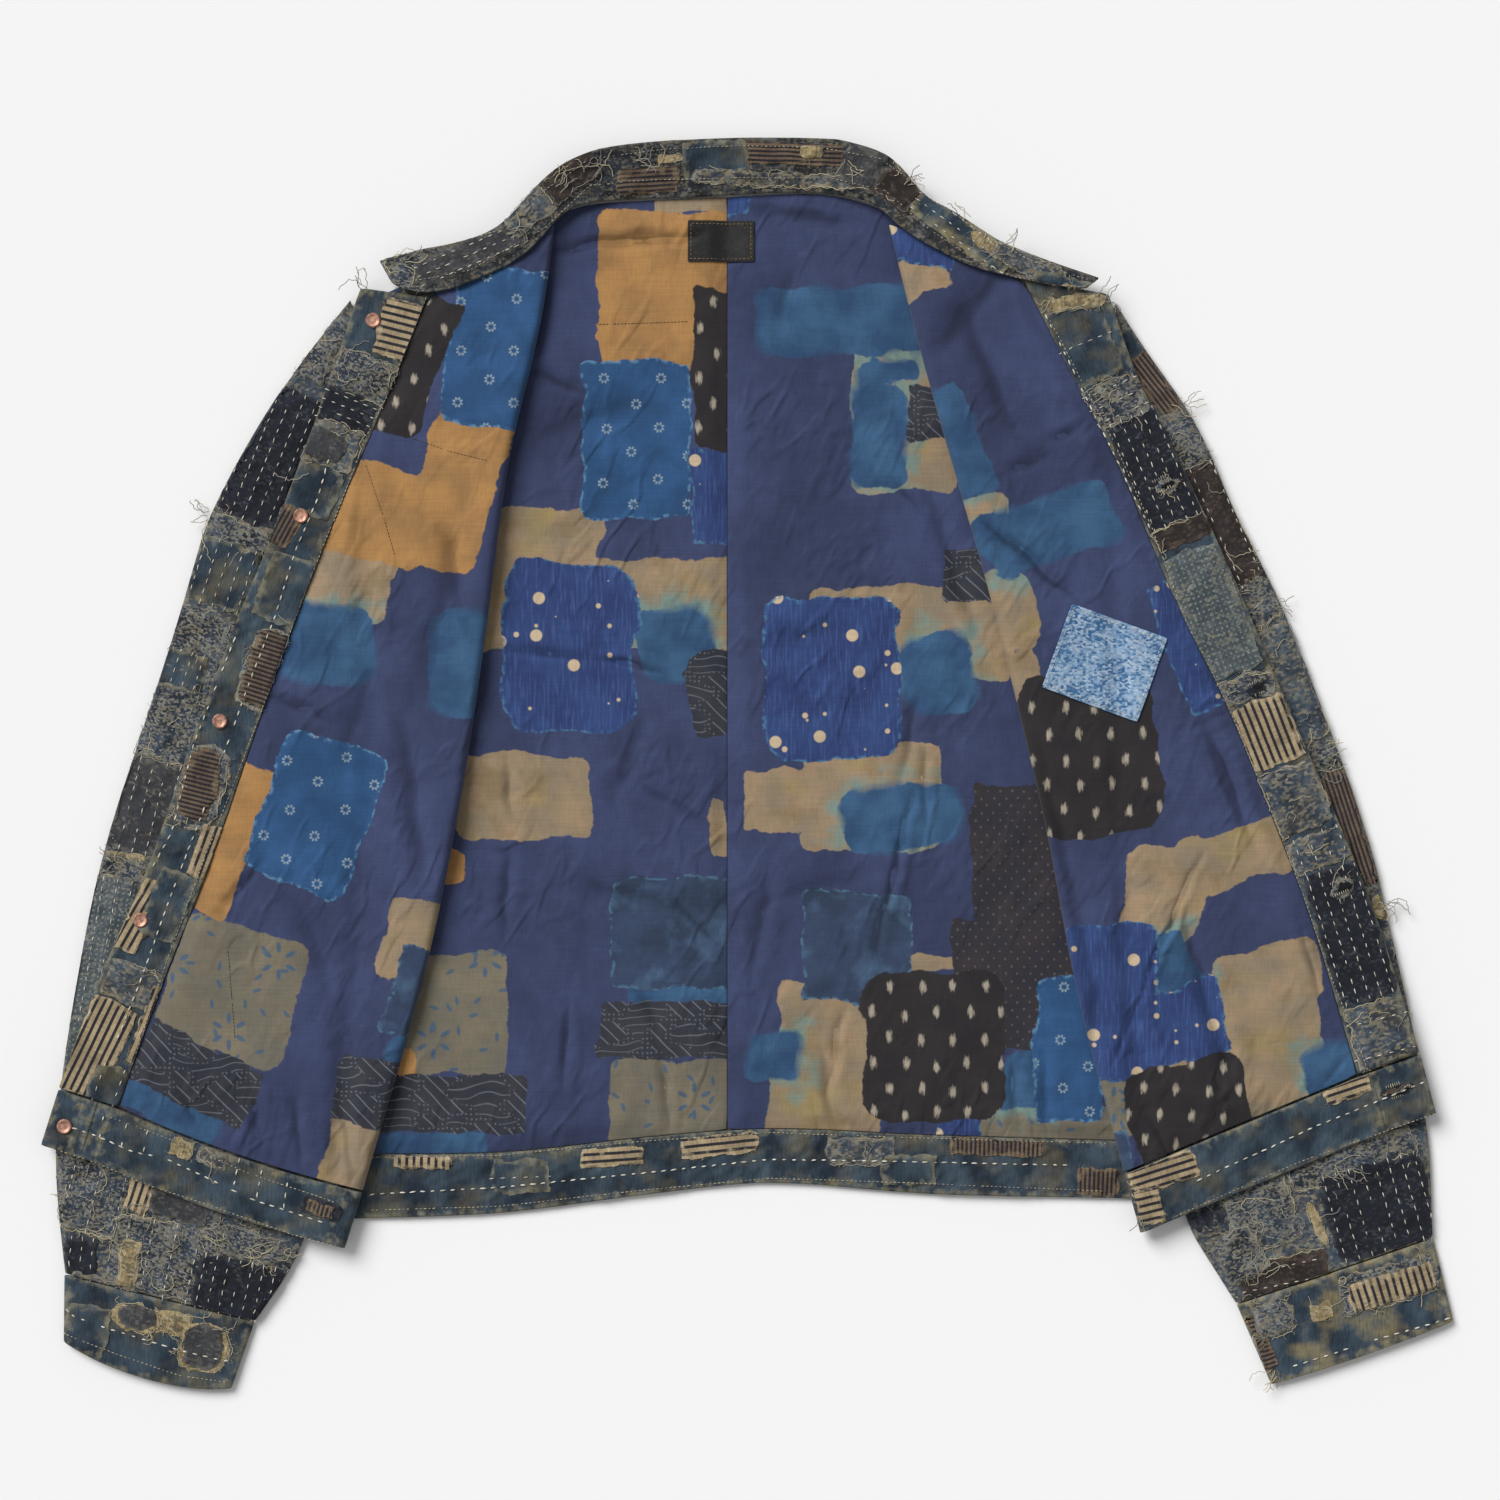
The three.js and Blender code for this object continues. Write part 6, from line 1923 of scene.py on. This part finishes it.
    def sew(self) -> None:
        """Lays the rows of stitches."""
        sashiko = Stitches("sashiko_stitches", COTTON_THREAD, pitch=6.3, length=3.9, width=0.72, seed=4)
        sashiko.build(self.stitches)
        running = Stitches("running_stitches", COTTON_THREAD, pitch=6.4, length=4.2, width=1.1, seed=5)
        top = Stitches("topstitches", LOOSE_THREAD, pitch=2.8, length=2.3, width=0.6, seed=6)
        dark = Stitches("dark_seam_stitches", DARK_THREAD, pitch=2.2, length=2.2, width=0.4, seed=7)
        for rows, work in ((RUNNING, running), (TOPSTITCH, top), (DARK_SEAMS, dark)):
            guides = Guides()
            for node, *points in rows:
                guides.add(self.follow([spot(*point) for point in points], self.grounds[node]))
            work.build(guides)
        holes = Guides()
        for node, x, y, turn in BUTTONHOLES:
            for side in (-HOLE_HALF_WIDTH, HOLE_HALF_WIDTH):
                edge = Lid(Cloth.NAVY, x, y, 2 * HOLE_HALF_LENGTH, 2 * HOLE_HALF_WIDTH, turn)
                ends = [(run * HOLE_HALF_LENGTH * PHOTO_SCALE, side * PHOTO_SCALE) for run in (-1, 1)]
                holes.add(self.follow([turned_place(edge, *end) for end in ends], self.grounds[node]))
        rims = Stitches("buttonhole_stitches", LOOSE_THREAD, pitch=1.3, length=3.0, width=0.6, seed=8)
        rims.axis = "Y"
        rims.build(holes)
        borders = (("neck_label", NECK_BORDER, GOLD_THREAD), ("side_label", SIDE_BORDER, COTTON_THREAD))
        for node, lid, thread in borders:
            border = Guides()
            border.add(self.follow(rectangle(lid), self.grounds[node]))
            Stitches(node + "_stitches", thread, pitch=2.6, length=2.2, width=0.5, seed=9).build(border)

    def fray(self) -> None:
        """Lays the loose threads and the frayed ends."""
        draw = random.Random(7)
        for stray in STRAYS:
            for _ in range(stray.count):
                x = stray.x + draw.uniform(-STRAY_SPREAD, STRAY_SPREAD)
                y = stray.y + draw.uniform(-STRAY_SPREAD, STRAY_SPREAD)
                one = replace(stray, x=x, y=y, turn=stray.turn + draw.uniform(-STRAY_FAN, STRAY_FAN))
                self.loose.add(curl(self.grounds[stray.node], one))
        threads = LooseThreads("loose_threads", LOOSE_THREAD, pitch=1.8, length=0.7, width=0.5, seed=10)
        threads.build(self.loose)
        for seed, (group, guides) in enumerate(self.frays.items()):
            name = "frayed_ends_" + group
            Fray(name, FRAY_THREAD, pitch=1.1, length=7.5, width=0.6, seed=seed + 11).build(guides)

    def follow(self, places: list[tuple[float, float]], ground: Ground) -> list[Vector]:
        """Lays a line of stitches on the cloth and returns its points."""
        flat = [Vector(place) for place in places]
        line = []
        for first, last in zip(flat, flat[1:]):
            steps = max(2, int((last - first).length / (2.5 * MM)))
            for i in range(steps):
                place = first.lerp(last, i / steps)
                line.append(ground.drop(place.x, place.y) + STITCH_LIFT)
        return line

    def tacks(self) -> None:
        """Gives the copper tack backs their finish."""
        for name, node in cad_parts.items():
            if name.startswith("tack_button"):
                node.data.materials.clear()
                node.data.materials.append(COPPER.material())


def rectangle(lid: Lid) -> list[tuple[float, float]]:
    """Gives the corners of a flat box on the garment, back to the first, in metres."""
    half_x, half_y = lid.width * PHOTO_SCALE / 2, lid.height * PHOTO_SCALE / 2
    signs = ((-1, -1), (1, -1), (1, 1), (-1, 1), (-1, -1))
    return [turned_place(lid, x * half_x, y * half_y) for x, y in signs]


@dataclass
class Studio:
    """White floor, soft daylight from the upper left and a camera straight above the jacket."""

    floor_size: float = 40.0
    floor_drop_mm: float = 0.3
    sky: float = 0.42
    key_strength: float = 3.5
    key_spread: float = 34.0
    key_from: tuple[float, float, float] = (-0.58, 0.62, 0.75)
    lens_mm: float = 100.0
    sensor_mm: float = 36.0
    view_width: float = 0.945
    middle: tuple[float, float] = (0.0022, 0.0082)
    cloth_height: float = 0.008

    def build(self) -> None:
        """Builds the floor, the light and the camera."""
        half = self.floor_size / 2
        mesh = bpy.data.meshes.new("floor")
        drop = -self.floor_drop_mm * MM
        around = ((-half, -half), (half, -half), (half, half), (-half, half))
        mesh.from_pydata([(*corner, drop) for corner in around], [], [(0, 1, 2, 3)])
        mesh.materials.append(FLOOR_PAPER.material())
        placed("floor", mesh)
        scene = bpy.context.scene
        scene.view_settings.view_transform = "Standard"
        world = bpy.data.worlds.new("studio")
        world.use_nodes = True
        world.node_tree.nodes["Background"].inputs["Color"].default_value = (1, 1, 1, 1)
        world.node_tree.nodes["Background"].inputs["Strength"].default_value = self.sky
        scene.world = world
        lamp = bpy.data.lights.new("window", "SUN")
        lamp.energy = self.key_strength
        lamp.angle = math.radians(self.key_spread)
        key = bpy.data.objects.new("window", lamp)
        key.rotation_euler = (-Vector(self.key_from)).to_track_quat("-Z", "Y").to_euler()
        scene.collection.objects.link(key)
        lens = bpy.data.cameras.new("camera")
        lens.lens = self.lens_mm
        lens.sensor_width = self.sensor_mm
        camera = bpy.data.objects.new("camera", lens)
        distance = self.view_width * self.lens_mm / self.sensor_mm
        camera.location = (*self.middle, distance + self.cloth_height)
        scene.collection.objects.link(camera)
        scene.camera = camera


def main() -> None:
    """Builds the jacket and the studio."""
    logging.basicConfig(level=logging.INFO)
    Jacket().build()
    Studio().build()


if __name__ == "__main__":
    main()
